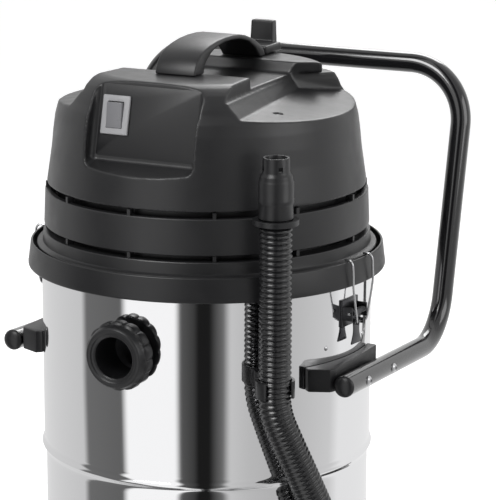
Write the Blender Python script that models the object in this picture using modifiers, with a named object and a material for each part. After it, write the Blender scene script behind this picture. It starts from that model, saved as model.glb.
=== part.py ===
"""Wheeled wet and dry shop vacuum: steel drum on a trolley, lift-off motor head, push handle, drain hose.

Metres, +Z up, the floor is Z = 0 and the front faces -Y. Pieces are built round the drum's axis as the
Z axis, and at the end the whole machine moves back or forth so that it is centred on the origin.
"""

import math

import bmesh
import bpy
from mathutils import Matrix, Vector

# ---------------------------------------------------------------- driving dimensions (metres)
GAP = 0.0003                 # clearance between pieces that touch
TANK_R = 0.220               # drum outside radius
SHEET = 0.0015               # drum wall
BEAD = 0.003                 # how far the pressed bead stands out
BEAD_SHARE = 0.519           # bead below the bumper ring, as a share of the height above the trolley
TANK_STEP = 0.0025           # the drum is this much narrower below its bead
RING_Z = 0.600               # height of the bumper ring's lower edge
RING_H = 0.0322              # bumper ring height
RING_OUT = 0.0179            # bumper ring stands this far out of the drum
RING_WALL = 0.003
RIM_RISE = 0.022             # drum rim above the bumper ring's lower edge
GASKET_H = 0.0037
GASKET_W = 0.010

FLANGE_R = TANK_R + 0.0060   # head base flange, which the latches reach over
BASE_LIP_R = TANK_R - 0.0028
BASE_TOP = 0.0482            # head base lip above RING_Z
SLOT = 0.0077                # height of both air slots
BAND_TOP = 0.1028            # top of the middle band above RING_Z
BAND_R = TANK_R - 0.0038
HEAD_WALL = 0.004
RIBS = 12                    # ribs across each air slot
COVER_R = TANK_R - 0.0082    # cover radius at its lower edge
COVER_TOP = 0.262            # top of the cover above RING_Z
STEP_DROP = 0.016            # rear step below the cover's top
DECK_IN = 0.226              # side deck height at the spine, above RING_Z
DECK_SLOPE = 0.115           # side deck falls outwards
REAR_RIM_R = 0.74 * COVER_R  # the rear step lies outside this radius
PANEL_HALF = 0.3635 * COVER_R  # switch pocket half width
PANEL_TOP_Y = -COVER_R + 0.0618
PANEL_FOOT_Y = -COVER_R + 0.0388
PANEL_FOOT = 0.161           # foot of the switch panel above RING_Z
GRIP_HALF = 0.029            # half the carrying handle's width
WELL_DROP = 0.015            # finger well across the spine, below the cover's top

INLET_R = 0.027              # suction inlet bore
INLET_Z = -0.073             # inlet axis above RING_Z
INLET_WALL = 0.0035
COLLAR_R = INLET_R + INLET_WALL + 0.0135
COLLAR_FACE_R = COLLAR_R - 0.0045
COLLAR_LEN = 0.027
INLET_REACH = TANK_R + 0.037  # front of the collar from the drum's axis

HANDLE_R = 0.014
HANDLE_WALL = 0.002
HANDLE_X = TANK_R + 0.0125 + HANDLE_R  # push handle leg from the middle
HANDLE_FRONT_Y = -0.096
HANDLE_Z = -0.1183           # lower leg's front end above RING_Z
HANDLE_TOP = 0.237           # crossbar above RING_Z
LEG_DIP = math.radians(2.4)  # lower leg falls towards the back
LEG_LEAN = math.radians(12.85)
HANDLE_CORNER_Y = TANK_R - 0.002  # where the lower leg's line meets the upper leg's line
LOW_BEND = 0.075
TOP_BEND = 0.082
BOLT_YS = (-0.050, 0.031)
BOLT_R = 0.004
BRACKET_YS = (-0.1035, -0.085, -0.065, -0.045, -0.022, 0.0, 0.022, 0.042)
BRACKET_H = 0.030
BRACKET_RISE = 0.0055        # middle of the bracket above the lower leg's front end

HOSE_R = 0.021
HOSE_RHO = TANK_R + RING_OUT + HOSE_R + 0.0016  # hose axis from the drum's axis, clear of the bumper ring
HOSE_AZ = math.radians(46.5)  # towards +X from the front
CUFF_LOW = 0.112             # lower end of the cuff above RING_Z
CUFF_LEN = 0.076
CLIP_Z = -0.106              # hose clip above RING_Z
OUTLET_R = HOSE_R - 0.0035

WHEEL_R = 0.115              # rear wheel
WHEEL_W = 0.042
TYRE = 0.014
AXLE_R = 0.008
CASTER_R = 0.0375
CASTER_W = 0.024
CASTER_XY = 0.68 * TANK_R
EAR_X = 0.64 * TANK_R        # axle ears from the middle
CASTER_TRAIL = 0.026
STEM_R = 0.006
CASTER_AXLE_R = 0.003
FLOOR_PLATE = 0.128          # underside of the trolley's plate
PLATE_H = 0.008
BASE_RIM_R = TANK_R + 0.0085
BASE_RIM_Z = 0.205
WHEEL_IN = BASE_RIM_R + 0.0025  # inner face of the rear wheels
OUTLET_Z = BASE_RIM_Z + OUTLET_R + 0.0115  # drain outlet's axis where it leaves the drum
LATCH_X = TANK_R + 0.013     # lever pivot from the drum's axis
LATCH_AZ = math.radians(84.0)  # latches from the front
LATCH_Z = -0.037             # lever pivot above RING_Z
BAIL_DROP = 0.013            # bail pivot below the lever's pivot
BAIL_OUT = 0.0025            # and outside it
WIRE_R = 0.0015
PIN_R = 0.002

# ---------------------------------------------------------------- derived places
AXLE_Y = INLET_REACH - WHEEL_R          # the wheels reach as far back as the inlet reaches forward
TANK_FLOOR = FLOOR_PLATE + PLATE_H + GAP
RIM_Z = RING_Z + RIM_RISE
BASE_Z = RIM_Z + GAP + GASKET_H + GAP   # underside of the head
COVER_Z = RING_Z + BAND_TOP + SLOT
PANEL_TILT = math.atan((PANEL_TOP_Y - PANEL_FOOT_Y) / (COVER_TOP - PANEL_FOOT))
RING_R = TANK_R + RING_OUT
STEM_Z = FLOOR_PLATE - 0.034            # underside of the caster bosses
BEAD_Z = RING_Z - BEAD_SHARE * (RING_Z - FLOOR_PLATE)
CROSSBAR_FALL = HANDLE_TOP - HANDLE_Z + (HANDLE_CORNER_Y - HANDLE_FRONT_Y) * math.tan(LEG_DIP)
CROSSBAR_Y = HANDLE_CORNER_Y + CROSSBAR_FALL * math.tan(LEG_LEAN)
DRUM_Y = (INLET_REACH - CROSSBAR_Y - HANDLE_R) / 2.0  # the drum's axis from the origin

PARTS = None
CUTTERS = None
MATERIALS = {}


# ---------------------------------------------------------------- helpers
def material(name, colour, roughness, metallic=0.0, alpha=1.0):
    if name in MATERIALS:
        return MATERIALS[name]
    mat = bpy.data.materials.new(name)
    mat.use_nodes = True
    shader = mat.node_tree.nodes["Principled BSDF"]
    shader.inputs["Base Color"].default_value = (*colour, 1.0)
    shader.inputs["Roughness"].default_value = roughness
    shader.inputs["Metallic"].default_value = metallic
    shader.inputs["Alpha"].default_value = alpha
    MATERIALS[name] = mat
    return mat


def link(obj, cutter=False):
    (CUTTERS if cutter else PARTS).objects.link(obj)
    if cutter:
        obj.hide_render = True
        obj.display_type = "WIRE"
    return obj


def mesh_object(name, bm, mat=None, cutter=False):
    bm.normal_update()
    bmesh.ops.recalc_face_normals(bm, faces=bm.faces)
    mesh = bpy.data.meshes.new(name)
    bm.to_mesh(mesh)
    bm.free()
    if mat is not None:
        mesh.materials.append(mat)
    return link(bpy.data.objects.new(name, mesh), cutter)


def smooth(obj, degrees=35.0):
    obj.data.shade_smooth()
    obj.data.set_sharp_from_angle(angle=math.radians(degrees))
    return obj


def evaluated_mesh(obj):
    bpy.context.view_layer.update()
    graph = bpy.context.evaluated_depsgraph_get()
    return bpy.data.meshes.new_from_object(obj.evaluated_get(graph))


def settle(obj):
    """Apply the modifiers, so the piece is a plain mesh in world space."""
    mesh = evaluated_mesh(obj)
    mesh.transform(obj.matrix_world)
    obj.modifiers.clear()
    obj.data = mesh
    obj.matrix_world = Matrix.Identity(4)
    bpy.context.view_layer.update()
    return obj


def turned(name, profile, steps, mat=None, cutter=False, place=None, closed=True):
    """Turn a profile of (radius, height) about Z; it runs down its outer side."""
    mesh = bpy.data.meshes.new(name)
    edges = [(i, i + 1) for i in range(len(profile) - 1)]
    if closed:
        edges.append((len(profile) - 1, 0))
    mesh.from_pydata([(r, 0.0, z) for r, z in profile], edges, [])
    obj = link(bpy.data.objects.new(name, mesh), cutter)
    if mat is not None:
        mesh.materials.append(mat)
    screw = obj.modifiers.new("turn", "SCREW")
    screw.steps = steps
    screw.render_steps = steps
    screw.use_merge_vertices = True
    screw.merge_threshold = 0.00001
    screw.use_smooth_shade = False
    if place is not None:
        obj.matrix_world = place
    settle(obj)
    return smooth(obj)


def box(name, low, high, mat=None, cutter=False, bevel=0.0):
    bm = bmesh.new()
    bmesh.ops.create_cube(bm, size=1.0)
    for vert in bm.verts:
        vert.co = Vector([low[i] + (vert.co[i] + 0.5) * (high[i] - low[i]) for i in range(3)])
    obj = mesh_object(name, bm, mat, cutter)
    if bevel > 0.0:
        rounding = obj.modifiers.new("round", "BEVEL")
        rounding.width = bevel
        rounding.segments = 2
        settle(obj)
    return obj


def rod(name, start, end, radius, sides, mat=None, cutter=False):
    """A closed cylinder between two points."""
    start, end = Vector(start), Vector(end)
    bm = bmesh.new()
    bmesh.ops.create_cone(bm, cap_ends=True, segments=sides, radius1=radius, radius2=radius,
                          depth=(end - start).length)
    turn = (end - start).to_track_quat("Z", "Y").to_matrix().to_4x4()
    bm.transform(Matrix.Translation((start + end) / 2.0) @ turn)
    return smooth(mesh_object(name, bm, mat, cutter))


def plate(name, outline, low, high, mat=None, cutter=False, bevel=0.0):
    """A flat outline in XY between two heights."""
    bm = bmesh.new()
    verts = [bm.verts.new((x, y, low)) for x, y in outline]
    face = bm.faces.new(verts)
    top = bmesh.ops.extrude_face_region(bm, geom=[face])["geom"]
    raised = [v for v in top if isinstance(v, bmesh.types.BMVert)]
    bmesh.ops.translate(bm, vec=(0.0, 0.0, high - low), verts=raised)
    obj = mesh_object(name, bm, mat, cutter)
    if bevel > 0.0:
        rounding = obj.modifiers.new("round", "BEVEL")
        rounding.width = bevel
        rounding.segments = 1
        rounding.limit_method = "ANGLE"
        rounding.angle_limit = math.radians(50.0)
        settle(obj)
    return obj


def loft(name, rings, mat=None, cutter=False):
    """A closed solid through rings with the same number of points."""
    bm = bmesh.new()
    rows = [[bm.verts.new(point) for point in ring] for ring in rings]
    count = len(rows[0])
    for lower, upper in zip(rows, rows[1:]):
        for i in range(count):
            j = (i + 1) % count
            bm.faces.new((lower[i], lower[j], upper[j], upper[i]))
    bm.faces.new(rows[0])
    bm.faces.new(rows[-1])
    return mesh_object(name, bm, mat, cutter)


def tube(name, points, radius, mat=None, cutter=False, sides=3):
    """A round bar along points; sides is the bevel resolution."""
    curve = bpy.data.curves.new(name, "CURVE")
    curve.dimensions = "3D"
    curve.bevel_depth = radius
    curve.bevel_resolution = sides
    curve.use_fill_caps = True
    spline = curve.splines.new("POLY")
    spline.points.add(len(points) - 1)
    for spot, point in zip(spline.points, points):
        spot.co = (*point, 1.0)
    if mat is not None:
        curve.materials.append(mat)
    return link(bpy.data.objects.new(name, curve), cutter)


def tube_mesh(name, points, radius, mat=None, cutter=False, sides=3):
    """The same bar as a welded mesh, ready to be cut."""
    curve = tube(name + "_path", points, radius, mat, cutter, sides)
    mesh = evaluated_mesh(curve)
    bm = bmesh.new()
    bm.from_mesh(mesh)
    bmesh.ops.remove_doubles(bm, verts=bm.verts, dist=0.000005)
    bm.transform(curve.matrix_world)
    bpy.data.objects.remove(curve)
    return smooth(mesh_object(name, bm, mat, cutter))


def combine(obj, other, operation):
    step = obj.modifiers.new(operation.lower(), "BOOLEAN")
    step.operation = operation
    step.solver = "EXACT"
    step.object = other
    settle(obj)
    bpy.data.objects.remove(other)
    return obj


def cut(obj, cutter):
    return combine(obj, cutter, "DIFFERENCE")


def join(obj, other):
    return combine(obj, other, "UNION")


def mirrored(obj, name):
    """A copy of a settled piece on the other side of the YZ plane."""
    bm = bmesh.new()
    bm.from_mesh(obj.data)
    bm.transform(Matrix.Scale(-1.0, 4, (1.0, 0.0, 0.0)))
    bmesh.ops.reverse_faces(bm, faces=bm.faces)
    mesh = bpy.data.meshes.new(name)
    bm.to_mesh(mesh)
    bm.free()
    mesh.materials.append(obj.data.materials[0])
    return smooth(link(bpy.data.objects.new(name, mesh)))


def arc(centre, radius, start, end, count):
    """Points on an arc in a plane, from angle start to angle end in degrees."""
    spots = []
    for i in range(count + 1):
        angle = math.radians(start + (end - start) * i / count)
        spots.append((centre[0] + radius * math.cos(angle), centre[1] + radius * math.sin(angle)))
    return spots


def polar(rho, azimuth, z):
    """A point at an angle from the front, towards +X."""
    return Vector((rho * math.sin(azimuth), -rho * math.cos(azimuth), z))


def spin(azimuth):
    """Turns a piece modelled at +X to an angle from the front."""
    return Matrix.Rotation(azimuth - math.pi / 2.0, 4, "Z")


def fillet(corner, before, after, radius, count):
    """Points on a round bend that replaces a corner."""
    to_start = (before - corner).normalized()
    to_end = (after - corner).normalized()
    half = to_start.angle(to_end) / 2.0
    centre = corner + (to_start + to_end).normalized() * (radius / math.sin(half))
    first = corner + to_start * (radius / math.tan(half)) - centre
    last = corner + to_end * (radius / math.tan(half)) - centre
    sweep = first.angle(last)
    spots = []
    for i in range(count + 1):
        t = i / count
        reach = first * math.sin((1.0 - t) * sweep) + last * math.sin(t * sweep)
        spots.append(centre + reach / math.sin(sweep))
    return spots


def smooth_path(knots, step):
    """Points a fixed step apart on a Catmull-Rom curve through the knots."""
    spots = [knots[0]] + list(knots) + [knots[-1]]
    fine = []
    for a, b, c, d in zip(spots, spots[1:], spots[2:], spots[3:]):
        for i in range(20):
            t = i / 20.0
            fine.append(0.5 * (2 * b + (c - a) * t + (2 * a - 5 * b + 4 * c - d) * t ** 2
                               + (3 * b - a - 3 * c + d) * t ** 3))
    fine.append(knots[-1])
    lengths = [0.0]
    for a, b in zip(fine, fine[1:]):
        lengths.append(lengths[-1] + (b - a).length)
    count = max(2, round(lengths[-1] / step))
    path = []
    index = 0
    for i in range(count + 1):
        goal = lengths[-1] * i / count
        while index < len(fine) - 2 and lengths[index + 1] < goal:
            index += 1
        share = (goal - lengths[index]) / (lengths[index + 1] - lengths[index])
        path.append(fine[index].lerp(fine[index + 1], min(1.0, max(0.0, share))))
    return path


# ---------------------------------------------------------------- drum
def build_tank():
    steel = material("stainless", (0.78, 0.78, 0.79), 0.12, 1.0)
    black = material("black_plastic", (0.03, 0.03, 0.033), 0.45)
    rubber = material("rubber", (0.02, 0.02, 0.02), 0.8)
    low_r = TANK_R - TANK_STEP
    inner = [(0.0, TANK_FLOOR + SHEET), (low_r - 0.022, TANK_FLOOR + SHEET),
             (low_r - 0.008, TANK_FLOOR + 0.006), (low_r - SHEET, TANK_FLOOR + 0.020),
             (low_r - SHEET, BEAD_Z - 0.012), (TANK_R + BEAD - SHEET, BEAD_Z),
             (TANK_R - SHEET, BEAD_Z + 0.012), (TANK_R - SHEET, RIM_Z)]
    outer = [(TANK_R, RIM_Z), (TANK_R, BEAD_Z + 0.012), (TANK_R + BEAD, BEAD_Z),
             (low_r, BEAD_Z - 0.012), (low_r, TANK_FLOOR + 0.020), (low_r - 0.007, TANK_FLOOR + 0.005),
             (low_r - 0.022, TANK_FLOOR), (0.0, TANK_FLOOR)]
    tank = turned("tank", inner + outer, 40, steel, closed=False)
    inlet_z = RING_Z + INLET_Z
    inlet_hole = rod("inlet_hole", (0, -TANK_R - 0.02, inlet_z), (0, -TANK_R + 0.04, inlet_z),
                     INLET_R + INLET_WALL + 0.0005, 24, cutter=True)
    cut(tank, inlet_hole)
    outward = outlet_corner().to_2d().normalized().to_3d()
    through = Vector((0.0, 0.0, OUTLET_Z)) + outward * TANK_R
    outlet_hole = rod("outlet_hole", through - outward * 0.03, through + outward * 0.03,
                      OUTLET_R + 0.001, 20, cutter=True)
    smooth(cut(tank, outlet_hole))

    ring_in = TANK_R + 0.0004
    ring = [(RING_R - 0.0050, RING_Z + RING_H), (RING_R - 0.0035, RING_Z + RING_H - 0.0012),
            (RING_R, RING_Z + 0.002), (RING_R - 0.0015, RING_Z), (ring_in, RING_Z),
            (ring_in, RING_Z + 0.004), (RING_R - RING_WALL - 0.001, RING_Z + 0.004),
            (RING_R - 0.0035 - RING_WALL, RING_Z + RING_H - 0.001)]
    turned("tank_ring", ring, 40, black)
    mid = TANK_R - SHEET / 2.0
    seal = [(mid + GASKET_W / 2, RIM_Z + GAP + GASKET_H), (mid + GASKET_W / 2, RIM_Z + GAP),
            (mid - GASKET_W / 2, RIM_Z + GAP), (mid - GASKET_W / 2, RIM_Z + GAP + GASKET_H)]
    turned("tank_gasket", seal, 40, rubber)


def facing_front(y, z):
    """Turned pieces point their axis to the front, their zero height at this place."""
    return Matrix.Translation((0.0, y, z)) @ Matrix.Rotation(math.pi / 2.0, 4, "X")


def build_inlet():
    black = material("black_plastic", (0.03, 0.03, 0.033), 0.45)
    grey = material("grey_plastic", (0.18, 0.18, 0.19), 0.5)
    axis_z = RING_Z + INLET_Z
    neck_r = INLET_R + INLET_WALL
    seat = 0.0028                     # the neck's flange clears the curved sheet by this much
    flange_y = TANK_R + 0.0005
    neck_end = INLET_REACH - 0.003
    flange_r = neck_r + 0.0035
    sag = TANK_R - math.sqrt(TANK_R ** 2 - flange_r ** 2)
    neck_in = TANK_R - sag - 0.013 - seat
    neck = [(neck_r - 0.0004, neck_end), (neck_r, flange_y + 0.0035), (flange_r, flange_y + 0.0035),
            (flange_r, flange_y), (neck_r, flange_y), (neck_r, neck_in), (INLET_R, neck_in),
            (INLET_R, neck_end)]
    turned("inlet_neck", neck, 20, black, place=facing_front(0.0, axis_z))
    nut_top = TANK_R - SHEET - sag - 0.0024
    nut_r = neck_r + 0.0095
    nut = [(nut_r, nut_top), (nut_r, nut_top - 0.008), (neck_r + GAP, nut_top - 0.008),
           (neck_r + GAP, nut_top)]
    turned("inlet_locknut", nut, 20, grey, place=facing_front(0.0, axis_z))

    back = INLET_REACH - COLLAR_LEN
    bore = neck_r + 0.0006
    lobes = 14
    outline = []
    for i in range(lobes * 4):
        turn = 2.0 * math.pi * i / (lobes * 4)
        reach = COLLAR_R - (0.0028 if i % 4 == 0 else 0.0)
        outline.append((reach * math.cos(turn), reach * math.sin(turn)))
    grip = plate("inlet_collar", outline, back, back + COLLAR_LEN * 0.62, black)
    nose = [(0.0, INLET_REACH), (COLLAR_FACE_R - 0.003, INLET_REACH), (COLLAR_FACE_R, INLET_REACH - 0.002),
            (COLLAR_FACE_R + 0.002, back + COLLAR_LEN * 0.55), (COLLAR_FACE_R - 0.001, back + 0.004),
            (0.0, back + 0.004)]
    join(grip, turned("collar_nose", nose, 24, black, closed=False))
    hollow = [(0.0, INLET_REACH + 0.01), (INLET_R, INLET_REACH + 0.01), (INLET_R, neck_end + 0.0006),
              (bore, neck_end + 0.0006), (bore, back - 0.01), (0.0, back - 0.01)]
    cut(grip, turned("collar_hollow", hollow, 20, cutter=True, closed=False))
    grip.matrix_world = facing_front(0.0, axis_z)
    smooth(settle(grip))

    mouth = neck_in - GAP
    elbow_r = neck_r - 0.0005
    turn_y = -mouth + 0.046
    start = Vector((0, -mouth, axis_z))
    end = Vector((0, turn_y, axis_z - 0.060))
    knots = [start] + fillet(Vector((0, turn_y, axis_z)), start, end, 0.036, 4) + [end]
    elbow = tube_mesh("inlet_deflector", knots, elbow_r, grey, sides=3)
    inside = [knots[0] + Vector((0, -0.01, 0))] + knots[1:-1] + [knots[-1] + Vector((0, 0, -0.01))]
    smooth(cut(elbow, tube_mesh("deflector_bore", inside, elbow_r - 0.002, cutter=True, sides=3)))


# ---------------------------------------------------------------- drain hose
def hose_knots():
    """The hose falls past the clip, then slants round the drum to its outlet."""
    top = RING_Z + CUFF_LOW - GAP
    slant = RING_Z - 0.124
    end = OUTLET_Z + 0.038
    knots = [polar(HOSE_RHO, HOSE_AZ, top)]
    for drop in (-0.060, 0.0, 0.060, 0.100, 0.124):
        knots.append(polar(HOSE_RHO, HOSE_AZ, RING_Z - drop))
    for share, turn, inward in ((0.118, 1.1, 0.0002), (0.255, 3.7, 0.0005), (0.471, 8.3, 0.0015),
                                (0.686, 13.1, 0.0035), (0.878, 17.5, 0.0055), (1.0, 20.4, 0.0065)):
        z = slant + (end - slant) * share
        knots.append(polar(HOSE_RHO - inward, HOSE_AZ + math.radians(turn), z))
    return knots


def outlet_corner():
    """Where the line of the hose's last stretch meets the outlet's height."""
    before, end = hose_knots()[-2:]
    return end + (end - before) * ((end.z - OUTLET_Z) / (before.z - end.z))


def build_hose():
    black = material("black_plastic", (0.03, 0.03, 0.033), 0.45)
    vinyl = material("black_vinyl", (0.025, 0.025, 0.027), 0.4)
    knots = hose_knots()
    tube("drain_hose", smooth_path(knots, 0.030), HOSE_R, vinyl, sides=3)

    # cuff with an open neck on the hose's upper end
    low = RING_Z + CUFF_LOW
    cuff = [(HOSE_R - 0.0045, low + CUFF_LEN), (HOSE_R - 0.0045, low + 0.062),
            (HOSE_R - 0.0015, low + 0.060), (HOSE_R - 0.0005, low + 0.053),
            (HOSE_R - 0.0005, low + 0.051), (HOSE_R + 0.0012, low + 0.047),
            (HOSE_R + 0.0012, low + 0.019), (HOSE_R + 0.0005, low + 0.017),
            (HOSE_R + 0.0008, low), (0.0, low)]
    bore = [(0.0, low + 0.020), (HOSE_R - 0.0085, low + 0.020), (HOSE_R - 0.0075, low + CUFF_LEN)]
    hung = Matrix.Translation(polar(HOSE_RHO, HOSE_AZ, 0.0))
    turned("drain_cuff", bore + cuff, 24, black, place=hung, closed=False)

    # ring on a strut that stands on the bumper ring
    top = low - 0.001
    loop_r = HOSE_R + 0.0078
    hole_r = HOSE_R + 0.0004
    ring = turned("cuff_holder", [(loop_r, 0.0), (loop_r, -0.007), (hole_r, -0.007), (hole_r, 0.0)], 28,
                  black)
    ring.matrix_world = Matrix.Translation((HOSE_RHO, 0.0, top))
    settle(ring)
    strut = box("strut", (RING_R - 0.0065, -0.009, RING_Z + RING_H + GAP),
                (RING_R - 0.0013, 0.009, top - 0.0005), black)
    join(ring, strut)
    ring.matrix_world = spin(HOSE_AZ)
    smooth(settle(ring))

    # clip with two jaws, its foot on the drum
    grip_in = HOSE_R + 0.0008
    jaws = arc((HOSE_RHO, 0.0), HOSE_R + 0.0042, 48, 312, 16) + arc((HOSE_RHO, 0.0), grip_in, 312, 48, 16)
    clip = plate("hose_clip", jaws, RING_Z + CLIP_Z - 0.011, RING_Z + CLIP_Z + 0.011, black)
    foot = box("clip_foot", (TANK_R - 0.004, -0.011, RING_Z + CLIP_Z - 0.011),
               (HOSE_RHO - HOSE_R - 0.0022, 0.011, RING_Z + CLIP_Z + 0.011), black)
    join(clip, foot)
    cut(clip, rod("drum_face", (0, 0, BEAD_Z), (0, 0, RING_Z), TANK_R + GAP, 96, cutter=True))
    clip.matrix_world = spin(HOSE_AZ)
    smooth(settle(clip))

    # elbow fitting from the drum's foot to the hose's lower end
    corner = outlet_corner()
    fall = (corner - knots[-1]).normalized()
    start = knots[-1] + fall * GAP
    outward = corner.to_2d().normalized().to_3d()
    drum_side = Vector((0.0, 0.0, OUTLET_Z)) + outward * (TANK_R - 0.012)
    bend = fillet(corner, start, drum_side, OUTLET_R + 0.0025, 4)
    elbow = tube_mesh("drain_outlet", [start] + bend + [drum_side], OUTLET_R, black, sides=3)
    ends = [start - fall * 0.003] + bend + [drum_side - outward * 0.005]
    smooth(cut(elbow, tube_mesh("outlet_bore", ends, OUTLET_R - 0.0035, cutter=True, sides=3)))


# ---------------------------------------------------------------- trolley
def build_trolley():
    black = material("black_plastic", (0.03, 0.03, 0.033), 0.45)
    steel = material("plated_steel", (0.62, 0.62, 0.63), 0.3, 1.0)
    grey = material("grey_plastic", (0.18, 0.18, 0.19), 0.5)
    rubber = material("rubber", (0.02, 0.02, 0.02), 0.8)
    floor = FLOOR_PLATE
    seat = TANK_R - TANK_STEP + 0.0006
    profile = [(0.0, floor + PLATE_H), (seat, floor + PLATE_H), (seat, BASE_RIM_Z),
               (BASE_RIM_R - 0.002, BASE_RIM_Z), (BASE_RIM_R, BASE_RIM_Z - 0.003),
               (BASE_RIM_R, floor + 0.006), (BASE_RIM_R - 0.006, floor), (0.0, floor)]
    base = turned("trolley_base", profile, 40, black, closed=False)
    for side in (-1.0, 1.0):
        x = side * CASTER_XY
        join(base, rod("boss", (x, -CASTER_XY, STEM_Z), (x, -CASTER_XY, floor + 0.004), 0.030, 24, black))
        cut(base, rod("stem_hole", (x, -CASTER_XY, STEM_Z - 0.01), (x, -CASTER_XY, STEM_Z + 0.028),
                      STEM_R + 0.0008, 16, cutter=True))
        ear_x = side * EAR_X
        join(base, box("ear", (ear_x - 0.009, AXLE_Y - 0.022, WHEEL_R - 0.020),
                       (ear_x + 0.009, AXLE_Y + 0.022, floor + 0.004), black))
        cut(base, rod("axle_hole", (ear_x - 0.02, AXLE_Y, WHEEL_R), (ear_x + 0.02, AXLE_Y, WHEEL_R),
                      AXLE_R + GAP, 24, cutter=True))
    smooth(base)

    wheel_out = WHEEL_IN + WHEEL_W
    axle_end = wheel_out + 0.006
    rod("rear_axle", (-axle_end, AXLE_Y, WHEEL_R), (axle_end, AXLE_Y, WHEEL_R), AXLE_R, 20, steel)
    hub_r = WHEEL_R - TYRE
    half = WHEEL_W / 2.0
    bore = AXLE_R + 0.0004
    hub = [(hub_r, half - 0.004), (hub_r, -half + 0.004), (hub_r - 0.012, -half + 0.004),
           (hub_r - 0.016, -0.006), (0.030, -0.006), (0.026, -half), (bore, -half), (bore, half),
           (0.026, half), (0.030, 0.008), (hub_r - 0.016, 0.008), (hub_r - 0.012, half - 0.004)]
    tread = [(WHEEL_R - 0.005, half), (WHEEL_R, half - 0.006), (WHEEL_R, -half + 0.006),
             (WHEEL_R - 0.005, -half),
             (hub_r + GAP, -half + 0.002), (hub_r + GAP, half - 0.002)]
    for word, side in (("left", -1.0), ("right", 1.0)):
        outward = Matrix.Rotation(side * math.pi / 2.0, 4, "Y")
        place = Matrix.Translation((side * (WHEEL_IN + half), AXLE_Y, WHEEL_R)) @ outward
        turned("wheel_" + word, hub, 24, grey, place=place)
        turned("tyre_" + word, tread, 24, rubber, place=place)

    plate_z = STEM_Z - 0.0006
    wheel_y = -CASTER_XY + CASTER_TRAIL
    for word, side in (("left", -1.0), ("right", 1.0)):
        x = side * CASTER_XY
        fork = box("caster_fork_" + word, (x - 0.018, wheel_y - 0.046, plate_z - 0.005),
                   (x + 0.018, wheel_y + 0.014, plate_z), steel)
        for cheek in (-1.0, 1.0):
            inner = x + cheek * (CASTER_W / 2.0 + 0.0012)
            outer = x + cheek * (CASTER_W / 2.0 + 0.0042)
            join(fork, box("cheek", (min(inner, outer), wheel_y - 0.016, CASTER_R - 0.012),
                           (max(inner, outer), wheel_y + 0.012, plate_z - 0.002), steel))
        join(fork, rod("stem", (x, -CASTER_XY, plate_z - 0.003), (x, -CASTER_XY, STEM_Z + 0.024),
                       STEM_R, 16, steel))
        cut(fork, rod("axle_cut", (x - 0.03, wheel_y, CASTER_R), (x + 0.03, wheel_y, CASTER_R),
                      CASTER_AXLE_R + GAP, 12, cutter=True))
        smooth(fork)
        half_c = CASTER_W / 2.0
        bore_c = CASTER_AXLE_R + 0.0004
        rim = [(CASTER_R - 0.003, half_c), (CASTER_R, half_c - 0.005), (CASTER_R, -half_c + 0.005),
               (CASTER_R - 0.003, -half_c), (bore_c, -half_c), (bore_c, half_c)]
        place = Matrix.Translation((x, wheel_y, CASTER_R)) @ Matrix.Rotation(math.pi / 2.0, 4, "Y")
        turned("caster_wheel_" + word, rim, 20, rubber, place=place)
        rod("caster_axle_" + word, (x - 0.019, wheel_y, CASTER_R), (x + 0.019, wheel_y, CASTER_R),
            CASTER_AXLE_R, 12, steel)


# ---------------------------------------------------------------- push handle
def handle_path():
    front = Vector((HANDLE_X, HANDLE_FRONT_Y, RING_Z + HANDLE_Z))
    top = Vector((HANDLE_X, CROSSBAR_Y, RING_Z + HANDLE_TOP))
    corner = Vector((HANDLE_X, HANDLE_CORNER_Y, top.z - CROSSBAR_FALL))
    middle = Vector((0.0, top.y, top.z))
    side = [front] + fillet(corner, front, top, LOW_BEND, 7) + fillet(top, corner, middle, TOP_BEND, 8)
    other = [Vector((-p.x, p.y, p.z)) for p in reversed(side)]
    return side + other


def leg_height(y):
    """Height of the lower leg's axis."""
    return RING_Z + HANDLE_Z - (y - HANDLE_FRONT_Y) * math.tan(LEG_DIP)


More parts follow.
